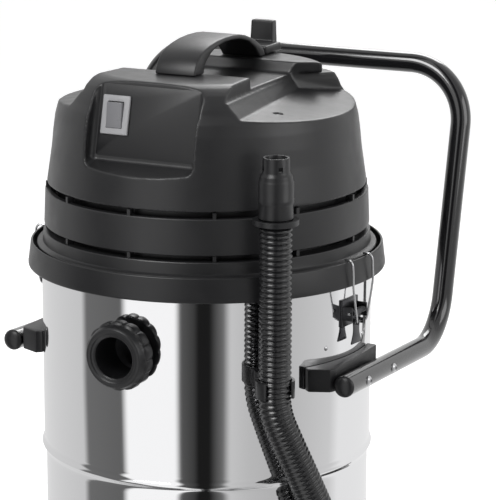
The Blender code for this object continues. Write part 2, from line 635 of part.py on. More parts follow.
def build_handle():
    enamel = material("black_enamel", (0.015, 0.015, 0.017), 0.18)
    black = material("black_plastic", (0.03, 0.03, 0.033), 0.45)
    steel = material("plated_steel", (0.62, 0.62, 0.63), 0.3, 1.0)
    path = handle_path()
    slope = (path[1] - path[0]).normalized()
    handle = tube_mesh("push_handle", path, HANDLE_R, enamel, sides=3)
    run = Vector((-slope.x, slope.y, slope.z))
    long_path = [path[0] - slope * 0.01] + path[1:-1] + [path[-1] - run * 0.01]
    cut(handle, tube_mesh("handle_bore", long_path, HANDLE_R - HANDLE_WALL, cutter=True, sides=3))
    for side in (-1.0, 1.0):
        for bolt_y in BOLT_YS:
            z = leg_height(bolt_y)
            inside = side * (HANDLE_X - HANDLE_R - 0.012)
            outside = side * (HANDLE_X + 0.03)
            cut(handle, rod("bolt_hole", (inside, bolt_y, z), (outside, bolt_y, z), BOLT_R + GAP, 12,
                            cutter=True))
    smooth(handle)

    centre_z = RING_Z + HANDLE_Z + BRACKET_RISE
    inner_x = HANDLE_X - HANDLE_R - GAP
    grip = TANK_R + 2.0 * GAP
    outline = [(math.sqrt(grip ** 2 - y ** 2), y) for y in BRACKET_YS]
    outline += [(inner_x - 0.005, BRACKET_YS[-1]), (inner_x, BRACKET_YS[-1] - 0.005),
                (inner_x, BRACKET_YS[0] + 0.014), (inner_x - 0.004, BRACKET_YS[0] + 0.004),
                (outline[0][0] + 0.008, BRACKET_YS[0] - 0.007)]
    bracket = plate("handle_bracket_right", outline, centre_z - BRACKET_H / 2, centre_z + BRACKET_H / 2,
                    black, bevel=0.002)
    for bolt_y in BOLT_YS:
        z = leg_height(bolt_y)
        cut(bracket, rod("thread", (inner_x - 0.015, bolt_y, z), (HANDLE_X, bolt_y, z),
                         BOLT_R + GAP, 12, cutter=True))
    smooth(bracket)
    mirrored(bracket, "handle_bracket_left")
    head_x = HANDLE_X + HANDLE_R - 0.0002
    tip_x = inner_x - 0.010
    shape = [(0.0, head_x + 0.0032), (0.0050, head_x + 0.0020), (0.0062, head_x + GAP),
             (BOLT_R - GAP, head_x + GAP), (BOLT_R - GAP, tip_x), (0.0, tip_x)]
    for row, bolt_y in enumerate(BOLT_YS):
        outward = Matrix.Rotation(math.pi / 2.0, 4, "Y")
        place = Matrix.Translation((0.0, bolt_y, leg_height(bolt_y))) @ outward
        bolt = turned("bracket_bolt_right_%d" % (row + 1), shape, 16, steel, place=place, closed=False)
        mirrored(bolt, "bracket_bolt_left_%d" % (row + 1))
    plug_r = (HANDLE_R - HANDLE_WALL) * math.cos(math.pi / 10.0) - GAP
    cap = [(0.0, 0.0060), (HANDLE_R - 0.0035, 0.0052), (HANDLE_R - 0.0004, 0.0026), (HANDLE_R, GAP),
           (plug_r, GAP), (plug_r, -0.012), (0.0, -0.012)]
    turn = (-slope).to_track_quat("Z", "Y").to_matrix().to_4x4()
    piece = turned("handle_cap_right", cap, 24, black, place=Matrix.Translation(path[0]) @ turn,
                   closed=False)
    mirrored(piece, "handle_cap_left")


# ---------------------------------------------------------------- latches
def build_latches():
    steel = material("plated_steel", (0.62, 0.62, 0.63), 0.3, 1.0)
    dark = material("dark_steel", (0.10, 0.10, 0.105), 0.35, 1.0)
    pivot_z = RING_Z + LATCH_Z
    ear_y = 0.017
    base = box("latch_base_right", (TANK_R - 0.004, -0.020, pivot_z - 0.020),
               (TANK_R + 0.0022, 0.020, pivot_z + 0.016), dark)
    for side in (-1.0, 1.0):
        low = min(side * ear_y, side * (ear_y + 0.0025))
        join(base, box("ear", (TANK_R + 0.001, low, pivot_z - 0.010),
                       (LATCH_X + 0.0035, low + 0.0025, pivot_z + 0.008), dark))
    cut(base, rod("pin_hole", (LATCH_X, -0.03, pivot_z), (LATCH_X, 0.03, pivot_z), PIN_R + GAP, 16,
                  cutter=True))
    cut(base, rod("drum_cut", (0, 0, BEAD_Z), (0, 0, RIM_Z), TANK_R + GAP, 96, cutter=True))
    pin = rod("latch_pin_right", (LATCH_X, -0.0215, pivot_z), (LATCH_X, 0.0215, pivot_z), PIN_R, 14, steel)

    bail_x = LATCH_X + BAIL_OUT
    bail_z = pivot_z - BAIL_DROP
    thick = 0.0008
    blade = [(-0.0125, 0.0), (0.0125, 0.0), (0.0110, -0.006), (0.0070, -0.022), (0.0070, -0.028),
             (0.0125, -0.043),
             (-0.0125, -0.043), (-0.0070, -0.028), (-0.0070, -0.022), (-0.0110, -0.006)]
    lever = plate("latch_lever_right", blade, -thick, thick, dark)
    lever.matrix_world = Matrix.Translation((LATCH_X - 0.0016, 0.0, pivot_z)) @ Matrix(
        ((0, 0, 1, 0), (1, 0, 0, 0), (0, 1, 0, 0), (0, 0, 0, 1)))
    settle(lever)
    join(lever, rod("barrel", (LATCH_X, -0.0145, pivot_z), (LATCH_X, 0.0145, pivot_z), 0.0042, 16, dark))
    for side in (-1.0, 1.0):
        low = min(side * 0.0045, side * 0.0070)
        join(lever, box("lug", (LATCH_X - 0.0018, low, bail_z - 0.0036),
                        (bail_x + 0.0036, low + 0.0025, bail_z + 0.0036), dark))
    cut(lever, rod("pivot_bore", (LATCH_X, -0.03, pivot_z), (LATCH_X, 0.03, pivot_z),
                   PIN_R + 0.0004, 16, cutter=True))
    cut(lever, rod("bail_bore", (bail_x, -0.03, bail_z), (bail_x, 0.03, bail_z),
                   WIRE_R + 0.0004, 12, cutter=True))

    lip_z = RING_Z + RING_H
    wall_x = RING_R + 0.0030
    side_wire = [(bail_x, 0.0090, bail_z), (bail_x + 0.0040, 0.0120, bail_z + 0.0020),
                 (wall_x - 0.0006, 0.0165, pivot_z + 0.0040), (wall_x, 0.0245, RING_Z - 0.002),
                 (wall_x - 0.0004, 0.0250, RING_Z + 0.016), (wall_x - 0.0014, 0.0250, lip_z - 0.0035),
                 (wall_x - 0.0042, 0.0245, lip_z + 0.0012), (wall_x - 0.0075, 0.0240, lip_z + 0.0024),
                 (RING_R - 0.0110, 0.0235, lip_z + 0.0022)]
    side_wire = [Vector(spot) for spot in side_wire]
    front_wire = [Vector((p.x, -p.y, p.z)) for p in reversed(side_wire)]
    bail = tube_mesh("latch_bail_right", front_wire + side_wire, WIRE_R, steel, sides=2)
    for piece, name in ((base, "latch_base"), (pin, "latch_pin"), (lever, "latch_lever"),
                        (bail, "latch_bail")):
        piece.matrix_world = spin(LATCH_AZ)
        mirrored(smooth(settle(piece)), name + "_left")


# ---------------------------------------------------------------- motor head
def slot_ribs(name, radius, low, high, mat):
    """Short ribs round a slot, standing on the ring below it."""
    bm = bmesh.new()
    for i in range(RIBS):
        made = bmesh.ops.create_cube(bm, size=1.0)["verts"]
        for vert in made:
            rise = low + (vert.co.z + 0.5) * (high - low)
            vert.co = Vector((radius + vert.co.x * 0.010, vert.co.y * 0.0045, rise))
        turn = Matrix.Rotation(2.0 * math.pi * i / RIBS, 4, "Z")
        bmesh.ops.transform(bm, matrix=turn, verts=made)
    return mesh_object(name, bm, mat)


def build_head_rings():
    black = material("head_plastic", (0.075, 0.075, 0.08), 0.5)
    dark = material("black_plastic", (0.03, 0.03, 0.033), 0.45)
    lip = RING_Z + BASE_TOP
    band_low = lip + SLOT
    band_top = RING_Z + BAND_TOP
    lip_in = BASE_LIP_R - 0.0172
    base = [(BASE_LIP_R - 0.001, lip), (BASE_LIP_R, lip - 0.001), (BASE_LIP_R + 0.0006, BASE_Z + 0.006),
            (FLANGE_R, BASE_Z + 0.0045), (FLANGE_R, BASE_Z), (0.052, BASE_Z), (0.052, BASE_Z + 0.005),
            (lip_in, BASE_Z + 0.005), (lip_in, lip)]
    head_base = turned("head_base", base, 40, black)
    smooth(join(head_base, slot_ribs("base_ribs", BAND_R - 0.0072, lip - 0.003, band_low - GAP, black)))
    inner = COVER_R - HEAD_WALL - 0.001
    band = [(BAND_R - 0.0038, band_top), (BAND_R - 0.0018, band_top - 0.0022), (BAND_R, band_low + 0.001),
            (BAND_R - 0.001, band_low), (inner, band_low), (inner, band_top)]
    vent_band = turned("vent_band", band, 40, black)
    smooth(join(vent_band, slot_ribs("band_ribs", BAND_R - 0.0080, band_top - 0.003, COVER_Z - GAP, black)))

    # fan housing: the dark drum behind the slots
    wall = lip_in - 0.003
    low = BASE_Z + 0.005 + GAP
    fan = [(wall, COVER_Z + 0.010), (wall, low), (0.056, low), (0.056, low + 0.004),
           (wall - 0.004, low + 0.004), (wall - 0.004, COVER_Z + 0.010)]
    turned("fan_housing", fan, 32, dark)
    motor_low = low + 0.004 + GAP
    motor = [(0.0, motor_low + 0.150), (0.022, motor_low + 0.150), (0.026, motor_low + 0.135),
             (0.056, motor_low + 0.125), (0.060, motor_low + 0.060), (0.078, motor_low + 0.050),
             (0.078, motor_low), (0.0, motor_low)]
    turned("motor", motor, 24, material("motor_metal", (0.45, 0.45, 0.47), 0.4, 1.0), closed=False)


def cover_profile():
    """Outer profile of the cover, from its top to its lower edge."""
    top = RING_Z + COVER_TOP
    edge = [(0.0638, 0.0), (0.0498, 0.0035), (0.0378, 0.011), (0.0298, 0.021), (0.0238, 0.034)]
    profile = [(0.0, top)] + [(COVER_R - inward, top - drop) for inward, drop in edge]
    return profile + [(COVER_R - 0.0123, RING_Z + 0.205), (COVER_R - 0.0073, RING_Z + 0.160),
                      (COVER_R, COVER_Z)]


def deck_height(x):
    return RING_Z + DECK_IN - DECK_SLOPE * (abs(x) - 0.439 * COVER_R)


def on_cover(points, side=1.0):
    """Places given as shares of the cover's radius."""
    return [(side * x * COVER_R, y * COVER_R) for x, y in points]


def side_deck_cutter(side):
    """The wedge beside the spine that leaves a lower deck."""
    top = RING_Z + COVER_TOP + 0.03
    mid = RING_Z + 0.240
    step = RING_Z + COVER_TOP - STEP_DROP
    low = on_cover(((0.604, -0.9), (0.510, -0.137), (0.444, 0.397), (0.689, 0.689), (1.23, 0.567),
                    (1.23, -0.9)), side)
    foot = on_cover(((0.524, -0.9), (0.444, -0.137), (0.406, 0.373), (0.666, 0.666), (1.23, 0.543),
                     (1.23, -0.9)), side)
    high = on_cover(((0.500, -0.9), (0.425, -0.137), (0.397, 0.359), (0.656, 0.656), (1.23, 0.534),
                     (1.23, -0.9)), side)
    rings = [[(x, y, deck_height(x)) for x, y in low], [(x, y, mid) for x, y in foot],
             [(x, y, step + 0.002) for x, y in high]]
    wedge = loft("side_wedge", rings, cutter=True)
    above = on_cover(((0.500, -0.9), (0.425, -0.137), (0.397, 0.378), (0.552, 0.467), (1.23, 0.467),
                      (1.23, -0.9)), side)
    return wedge, plate("side_above", above, mid + 0.002, top, cutter=True)


def build_cover():
    plastic = material("head_plastic", (0.075, 0.075, 0.08), 0.5)
    cover = turned("head_cover", cover_profile() + [(0.0, COVER_Z)], 40, plastic, closed=False)
    for side in (-1.0, 1.0):
        for piece in side_deck_cutter(side):
            cut(cover, piece)
    # rear step, lower than the top plate and outside it
    step = RING_Z + COVER_TOP - STEP_DROP
    wide = 1.23 * COVER_R
    start = 0.463 * COVER_R
    rim = arc((0.0, 0.0), REAR_RIM_R, 38, 142, 12)
    rear = rim + [(-wide, start), (-wide, wide), (wide, wide), (wide, start)]
    cut(cover, plate("rear_step", rear, step, step + 0.05, cutter=True))
    # finger well across the spine under the carrying handle
    crown = RING_Z + COVER_TOP
    well = [(-0.056, crown - WELL_DROP), (0.078, crown - WELL_DROP), (0.088, crown + 0.01),
            (-0.062, crown + 0.01)]
    side_x = 0.6 * COVER_R
    cut(cover, loft("finger_well", [[(x, y, z) for y, z in well] for x in (-side_x, side_x)], cutter=True))
    # switch pocket with a leaning back and a floor that falls outwards
    top = RING_Z + COVER_TOP + 0.01
    foot_z = RING_Z + PANEL_FOOT
    lean = (PANEL_TOP_Y - PANEL_FOOT_Y) / (COVER_TOP - PANEL_FOOT)
    top_y = PANEL_TOP_Y + 0.01 * lean
    floor_front = foot_z - 0.011
    outline = [(PANEL_FOOT_Y, foot_z), (PANEL_FOOT_Y - 0.033, floor_front), (-wide, floor_front),
               (-wide, top),
               (top_y, top)]
    rings = [[(x, y, z) for y, z in outline] for x in (-PANEL_HALF, PANEL_HALF)]
    pocket = loft("pocket", rings, cutter=True)
    soften = pocket.modifiers.new("corners", "BEVEL")
    soften.width = 0.008
    soften.segments = 2
    soften.limit_method = "ANGLE"
    soften.angle_limit = math.radians(60.0)
    cut(cover, settle(pocket))
    # hollow inside
    roof = RING_Z + 0.208
    shell = [(0.0, roof), (COVER_R - 0.0258, roof), (COVER_R - 0.0123, RING_Z + 0.160),
             (COVER_R - HEAD_WALL, COVER_Z - 0.01), (0.0, COVER_Z - 0.01)]
    cavity = turned("cavity", shell, 40, cutter=True, closed=False)
    wall_x = PANEL_HALF + 0.007
    wall_y = PANEL_TOP_Y + 0.007
    cut(cavity, box("panel_wall", (-wall_x, -wide, foot_z - 0.020), (wall_x, wall_y - 0.023, roof + 0.01),
                    cutter=True))
    slant = [(-wide, foot_z - 0.020), (PANEL_FOOT_Y + 0.007, foot_z - 0.020), (wall_y, top - 0.01),
             (-wide, top - 0.01)]
    lean_wall = loft("lean_wall", [[(x, y, z) for y, z in slant] for x in (-wall_x, wall_x)], cutter=True)
    cut(cavity, lean_wall)
    cut(cover, cavity)
    spine_x = PANEL_HALF - 0.003
    cut(cover, box("spine_hollow", (-spine_x, wall_y + 0.002, roof - 0.004),
                   (spine_x, 0.614 * COVER_R, crown - WELL_DROP - 0.005), cutter=True))
    smooth(cover, 40)
    return cover


def panel_place(x, z):
    """A frame on the switch panel: local -Y points out of the panel, local Z runs up it."""
    lean = math.tan(PANEL_TILT)
    y = PANEL_FOOT_Y + (z - PANEL_FOOT) * lean
    return Matrix.Translation((x, y, RING_Z + z)) @ Matrix.Rotation(-PANEL_TILT, 4, "X")


def build_switch(cover):
    grey = material("switch_grey", (0.55, 0.55, 0.56), 0.4)
    dark = material("switch_dark", (0.16, 0.16, 0.17), 0.35)
    place = panel_place(0.031 - PANEL_HALF, 0.218)
    hole = box("switch_hole", (-0.0142, -0.02, -0.0197), (0.0142, 0.03, 0.0197), cutter=True)
    hole.matrix_world = place
    cut(cover, settle(hole))
    smooth(cover, 40)
    bezel = box("switch_bezel", (-0.0195, -0.0045, -0.025), (0.0195, -GAP, 0.025), grey, bevel=0.0012)
    join(bezel, box("sleeve", (-0.0138, -0.001, -0.0193), (0.0138, 0.012, 0.0193), grey))
    cut(bezel, box("window", (-0.0116, -0.02, -0.0172), (0.0116, 0.03, 0.0172), cutter=True))
    bezel.matrix_world = place
    smooth(settle(bezel))
    rocker = box("switch_rocker", (-0.0110, -0.0060, -0.0164), (0.0110, -0.0010, 0.0164), dark,
                 bevel=0.0008)
    tilt = Matrix.Rotation(math.radians(7.0), 4, "X")
    rocker.matrix_world = place @ Matrix.Translation((0, -0.0015, 0)) @ tilt
    smooth(settle(rocker))


def build_head_fittings(cover):
    plastic = material("head_plastic", (0.075, 0.075, 0.08), 0.5)
    black = material("black_plastic", (0.03, 0.03, 0.033), 0.45)
    dark = material("dark_steel", (0.10, 0.10, 0.105), 0.35, 1.0)
    top = RING_Z + COVER_TOP
    seat = top + GAP
    # carrying handle: a wide arch over a finger gap
    outer = [(-0.090, 0.0), (-0.087, 0.008), (-0.072, 0.025), (-0.046, 0.034), (-0.002, 0.040),
             (0.040, 0.0385), (0.070, 0.031), (0.098, 0.018), (0.112, 0.008), (0.116, 0.0)]
    inner = [(0.100, 0.0), (0.092, 0.008), (0.078, 0.019), (0.058, 0.028), (0.040, 0.032), (-0.002, 0.0335),
             (-0.034, 0.028), (-0.052, 0.018), (-0.061, 0.008), (-0.0635, 0.0)]
    outline = [(y, seat + rise) for y, rise in outer + inner]
    grip = plate("carry_handle", outline, -GRIP_HALF, GRIP_HALF, plastic)
    grip.matrix_world = Matrix(((0, 0, 1, 0), (1, 0, 0, 0), (0, 1, 0, 0), (0, 0, 0, 1)))
    settle(grip)
    rounding = grip.modifiers.new("round", "BEVEL")
    rounding.width = 0.002
    rounding.segments = 2
    rounding.limit_method = "ANGLE"
    rounding.angle_limit = math.radians(60.0)
    smooth(settle(grip))
    # cord hook: a pad behind the handle, with an upright tab that stands on the rear step
    pad_y = outer[-1][0] + 0.0015
    tab_y = REAR_RIM_R + 0.0013
    hook = box("cord_hook", (-GRIP_HALF, pad_y, seat), (GRIP_HALF, tab_y + 0.008, seat + 0.012), plastic,
               bevel=0.003)
    foot = [(-0.018, tab_y), (0.018, tab_y), (0.018, tab_y + 0.018), (-0.018, tab_y + 0.018)]
    head = [(-0.0165, tab_y + 0.004), (0.0165, tab_y + 0.004), (0.0165, tab_y + 0.017),
            (-0.0165, tab_y + 0.017)]
    foot_z = top - STEP_DROP + GAP
    tab = loft("tab", [[(x, y, foot_z) for x, y in foot], [(x, y, top + 0.0405) for x, y in head]], plastic)
    smooth(join(hook, tab))
    # screws sunk in the side decks and the rear step
    places = []
    for side, word in ((-1.0, "left"), (1.0, "right")):
        x, y = on_cover(((0.652, -0.3305),), side)[0]
        places.append(("cover_screw_front_" + word, x, y, deck_height(x)))
        x, y = on_cover(((0.472, 0.68),), side)[0]
        places.append(("cover_screw_rear_" + word, x, y, top - STEP_DROP))
    for name, x, y, z in places:
        cut(cover, rod("screw_well", (x, y, z - 0.0034), (x, y, z + 0.01), 0.0068, 16, cutter=True))
        rod(name, (x, y, z - 0.0034 + GAP), (x, y, z - 0.0012), 0.0055, 16, dark)
    smooth(cover, 40)
    # mains cable gland at the back
    gland_z = RING_Z + 0.150
    gland_y = COVER_R - 0.0023
    hole = rod("gland_hole", (0, COVER_R - 0.03, gland_z), (0, COVER_R + 0.03, gland_z), 0.0085, 16,
               cutter=True)
    smooth(cut(cover, hole), 40)
    tail_y = COVER_R + 0.0202
    inner_y = COVER_R - 0.0158
    shape = [(0.007, tail_y), (0.010, tail_y - 0.012), (0.0125, COVER_R + 0.0017), (0.0125, gland_y),
             (0.0080, gland_y), (0.0080, inner_y), (0.004, inner_y), (0.004, tail_y)]
    place = Matrix.Translation((0.0, 0.0, gland_z)) @ Matrix.Rotation(-math.pi / 2.0, 4, "X")
    turned("cable_gland", shape, 20, black, place=place)


def build_filter():
    plastic = material("white_plastic", (0.75, 0.75, 0.73), 0.5)
    cloth = material("filter_cloth", (0.62, 0.60, 0.56), 0.9)
    ball_mat = material("float_orange", (0.75, 0.25, 0.05), 0.4)
    top = BASE_Z - GAP
    cage = [(0.060, top), (0.060, top - 0.004), (0.046, top - 0.004), (0.046, top - 0.110),
            (0.012, top - 0.110), (0.012, top - 0.107), (0.043, top - 0.107), (0.043, top)]
    body = turned("float_cage", cage, 20, plastic)
    for i in range(6):
        slit = box("slit", (0.035, -0.009, top - 0.090), (0.055, 0.009, top - 0.030), cutter=True)
        slit.matrix_world = Matrix.Rotation(math.radians(60.0 * i), 4, "Z")
        cut(body, settle(slit))
    smooth(body)
    ball_r = 0.030
    bm = bmesh.new()
    bmesh.ops.create_uvsphere(bm, u_segments=12, v_segments=8, radius=ball_r)
    ball = mesh_object("float_ball", bm, ball_mat)
    ball.location = (0.0, 0.0, top - 0.107 + GAP + ball_r)
    smooth(ball, 60)
    bag = [(0.0, top - 0.138), (0.104, top - 0.138), (0.122, top), (0.150, top), (0.150, top - 0.004),
           (0.128, top - 0.004), (0.108, top - 0.142), (0.0, top - 0.142)]
    turned("filter", bag, 24, cloth, closed=False)


def main():
    global PARTS, CUTTERS
    for obj in list(bpy.data.objects):
        bpy.data.objects.remove(obj)
    PARTS = bpy.data.collections.new("shop_vacuum")
    CUTTERS = bpy.data.collections.new("cutters")
    bpy.context.scene.collection.children.link(PARTS)
    bpy.context.scene.collection.children.link(CUTTERS)
    build_tank()
    build_inlet()
    build_hose()
    build_trolley()
    build_handle()
    build_latches()
    build_head_rings()
    cover = build_cover()
    build_switch(cover)
    build_head_fittings(cover)
    build_filter()
    for obj in PARTS.objects:
        obj.matrix_world = Matrix.Translation((0.0, DRUM_Y, 0.0)) @ obj.matrix_world


main()
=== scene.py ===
"""Wheeled wet and dry shop vacuum: the visual model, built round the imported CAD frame."""

from math import atan, cos, exp, pi, radians, sin, sqrt, tan

import bmesh
import bpy
import numpy as np
from mathutils import Matrix, Vector


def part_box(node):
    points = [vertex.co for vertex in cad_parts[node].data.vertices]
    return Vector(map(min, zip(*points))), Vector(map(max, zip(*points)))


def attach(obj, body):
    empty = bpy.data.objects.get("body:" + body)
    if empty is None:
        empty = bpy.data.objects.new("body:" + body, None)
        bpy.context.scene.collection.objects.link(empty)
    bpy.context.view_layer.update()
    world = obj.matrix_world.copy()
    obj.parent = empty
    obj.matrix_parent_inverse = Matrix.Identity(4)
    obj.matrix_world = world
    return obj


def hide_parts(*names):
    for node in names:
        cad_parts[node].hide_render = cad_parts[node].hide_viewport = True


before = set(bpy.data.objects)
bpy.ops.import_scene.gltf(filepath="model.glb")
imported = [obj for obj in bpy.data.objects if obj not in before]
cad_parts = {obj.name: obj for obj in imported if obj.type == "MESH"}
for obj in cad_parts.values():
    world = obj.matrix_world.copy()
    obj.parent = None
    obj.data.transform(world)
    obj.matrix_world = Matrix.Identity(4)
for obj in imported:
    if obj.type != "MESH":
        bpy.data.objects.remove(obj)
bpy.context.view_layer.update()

RING_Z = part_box("tank_ring")[0].z
DRUM_Y = (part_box("trolley_base")[0].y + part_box("trolley_base")[1].y) / 2.0

# ---- sizes, round the drum's axis, in metres
TANK_R = 0.22
SHEET = 0.0015
RING_R = 0.2379
RING_H = 0.0322
RIM_Z = RING_Z + 0.022
BASE_Z = RIM_Z + 0.0043
COVER_R = 0.2118
BAND_R = 0.2162
COVER_Z = RING_Z + 0.1105
COVER_TOP = 0.262              # above the bumper ring's lower edge
TOP = RING_Z + COVER_TOP
STEP = TOP - 0.016
PANEL_HALF = 0.3635 * COVER_R
PANEL_TOP_Y = -COVER_R + 0.0618
PANEL_FOOT_Y = -COVER_R + 0.0388
PANEL_FOOT = 0.161
PANEL_TILT = atan((PANEL_TOP_Y - PANEL_FOOT_Y) / (COVER_TOP - PANEL_FOOT))
INLET_Z = RING_Z - 0.073
INLET_R = 0.027
NECK_R = 0.0305
HANDLE_X = 0.2465
HANDLE_R = 0.014
HOSE_R = 0.021
HOSE_RHO = 0.2605
HOSE_AZ = radians(46.5)
OUTLET_R = 0.0175
OUTLET_Z = 0.234
FLOOR_PLATE = 0.128
BEAD_Z = RING_Z - 0.519 * (RING_Z - FLOOR_PLATE)
BASE_RIM_R = 0.2285
BASE_RIM_Z = 0.205
WHEEL_R = 0.115
AXLE_Y = 0.142
CASTER_XY = 0.1496
CASTER_R = 0.0375
LATCH_AZ = radians(84.0)
LATCH_X = 0.233
LATCH_Z = RING_Z - 0.037
CUFF_Z = RING_Z + 0.112
HOSE_PITCH = 0.0068            # one corrugation of the hose
HANDLE_FRONT_Y = -0.096
HANDLE_CORNER_Y = 0.218
LEG_DIP = radians(2.4)    # the lower leg falls towards the back
LEG_LEAN = radians(12.85)
BOLT_YS = (-0.05, 0.031)
BOLT_HOLE_R = 0.0043
REAR_RIM_R = 0.74 * COVER_R    # the rear step lies outside this radius
GRIP_HALF = 0.029
GLAND_Z = RING_Z + 0.15
SWITCH_X = 0.031 - PANEL_HALF
SWITCH_Z = 0.218
GAP = 0.0003                   # clearance between pieces that touch
ROUND = 2.0 * pi
TO_SIDE = Matrix.Rotation(pi / 2.0, 4, "Y")  # turns Z to X
TO_FRONT = Matrix.Rotation(pi / 2.0, 4, "X")  # turns Z to -Y
UPRIGHT = Matrix(((0, 0, 1, 0), (1, 0, 0, 0), (0, 1, 0, 0), (0, 0, 0, 1)))  # local X, Y, Z along Y, Z, X

def link(obj):
    bpy.context.scene.collection.objects.link(obj)
    return obj


# ---- camera
AZIMUTH, PITCH, YAW, ROLL = (radians(v) for v in (27.5, 13.273, 0.981, 0.216))
DISTANCE = 3.2
EYE_RISE = 0.7684


def build_camera():
    data = bpy.data.cameras.new("camera")
    data.sensor_width = 36.0
    data.lens = 177.1
    data.clip_start = 0.1
    data.clip_end = 100.0
    camera = bpy.data.objects.new("camera", data)
    link(camera)
    ahead = Vector((sin(YAW) * cos(PITCH), cos(YAW) * cos(PITCH), -sin(PITCH)))
    right = Vector((cos(YAW), -sin(YAW), 0.0))
    up = right.cross(ahead)
    right, up = (right * cos(ROLL) + up * sin(ROLL), up * cos(ROLL) - right * sin(ROLL))
    turn = Matrix.Rotation(AZIMUTH, 3, "Z")
    axes = Matrix((turn @ right, turn @ up, -(turn @ ahead))).transposed()
    place = Vector((DISTANCE * sin(AZIMUTH), DRUM_Y - DISTANCE * cos(AZIMUTH), RING_Z + EYE_RISE))
    camera.matrix_world = Matrix.Translation(place) @ axes.to_4x4()
    bpy.context.scene.camera = camera


# ---- studio
# bearing from the camera in degrees, brightness
BANDS = ((-180, 0.8), (-97, 0.62), (-92, 0.16), (-62, 0.13), (-57, 1.05), (-22, 1.05), (-18, 0.1), (-9, 0.05),
         (-6, 0.012), (2, 0.012), (5, 0.06), (11, 0.16), (16, 0.62), (29, 0.55),
         (48, 0.5), (64, 0.55), (96, 0.66), (106, 0.86), (180, 0.86))


def node(tree, kind, links=(), **values):
    """A shader node of a kind such as Math; links are (input, output socket or value)."""
    made = tree.nodes.new("ShaderNode" + kind)
    for key, value in values.items():
        setattr(made, key, value)
    for key, source in links:
        if isinstance(source, bpy.types.NodeSocket):
            tree.links.new(source, made.inputs[key])
        else:
            made.inputs[key].default_value = source
    return made


def build_world():
    """White to the camera; upright light and dark bands in the reflections."""
    world = bpy.data.worlds.new("studio")
    bpy.context.scene.world = world
    world.use_nodes = True
    tree = world.node_tree
    tree.nodes.clear()
    where = node(tree, "TexCoord").outputs["Generated"]
    front = (sin(AZIMUTH), -cos(AZIMUTH), 0.0)
    side = (cos(AZIMUTH), sin(AZIMUTH), 0.0)
    along = node(tree, "VectorMath", ((0, where), (1, front)), operation="DOT_PRODUCT").outputs["Value"]
    across = node(tree, "VectorMath", ((0, where), (1, side)), operation="DOT_PRODUCT").outputs["Value"]
    angle = node(tree, "Math", ((0, across), (1, along)), operation="ARCTAN2").outputs[0]
    share = node(tree, "Math", ((0, angle), (1, 1.0 / ROUND)), operation="MULTIPLY").outputs[0]
    share = node(tree, "Math", ((0, share), (1, 0.5)), operation="ADD").outputs[0]
    ramp = node(tree, "ValToRGB", (("Fac", share),))
    for i, (degrees, light) in enumerate(BANDS):
        spot = (degrees + 180.0) / 360.0
        stop = ramp.color_ramp.elements[i] if i < 2 else ramp.color_ramp.elements.new(spot)
        stop.position = spot
        stop.color = (light, light, light, 1.0)
    is_camera = node(tree, "LightPath").outputs["Is Camera Ray"]
    banded = node(tree, "Background", (("Color", ramp.outputs["Color"]), ("Strength", 1.0)))
    plain = node(tree, "Background", (("Color", (1.0, 1.0, 1.0, 1.0)), ("Strength", 1.0)))
    mix = node(tree, "MixShader", ((0, is_camera), (1, banded.outputs[0]), (2, plain.outputs[0])))
    node(tree, "OutputWorld", (("Surface", mix.outputs[0]),))


def area_light(name, place, target, size, power):
    data = bpy.data.lights.new(name, "AREA")
    data.energy = power
    data.size = size
    light = bpy.data.objects.new(name, data)
    link(light)
    place, target = Vector(place), Vector(target)
    light.matrix_world = Matrix.Translation(place) @ (place - target).to_track_quat("Z",
            "Y").to_matrix().to_4x4()
    light.visible_camera = False


def painted(name, values):
    """A new material with these values on its shader's sockets."""
    mat = bpy.data.materials.new(name)
    mat.use_nodes = True
    for key, value in values.items():
        mat.node_tree.nodes["Principled BSDF"].inputs[key].default_value = value
    return mat


def build_studio():
    build_world()
    bpy.context.scene.view_settings.view_transform = "Standard"
    turn = Matrix.Rotation(AZIMUTH, 3, "Z")
    aim = Vector((0.0, DRUM_Y, 0.6))
    area_light("key", aim + turn @ Vector((-1.5, -1.6, 2.2)), aim, 1.2, 38.0)
    area_light("fill", aim + turn @ Vector((2.2, -1.2, 1.0)), aim, 1.5, 14.0)
    area_light("rim", aim + turn @ Vector((0.6, 2.0, 1.8)), aim, 1.4, 26.0)
    mesh = bpy.data.meshes.new("floor")
    mesh.from_pydata([(-30, -30, 0), (30, -30, 0), (30, 30, 0), (-30, 30, 0)], [], [(0, 1, 2, 3)])
    floor = bpy.data.objects.new("floor", mesh)
    link(floor)
    mesh.materials.append(painted("floor", {
        "Base Color": (0.85, 0.85, 0.85, 1.0), "Roughness": 0.9, "Emission Color": (1.0, 1.0, 1.0, 1.0),
        "Emission Strength": 0.45
    }))
    floor.visible_glossy = False


# ---- materials
MATERIALS = {}


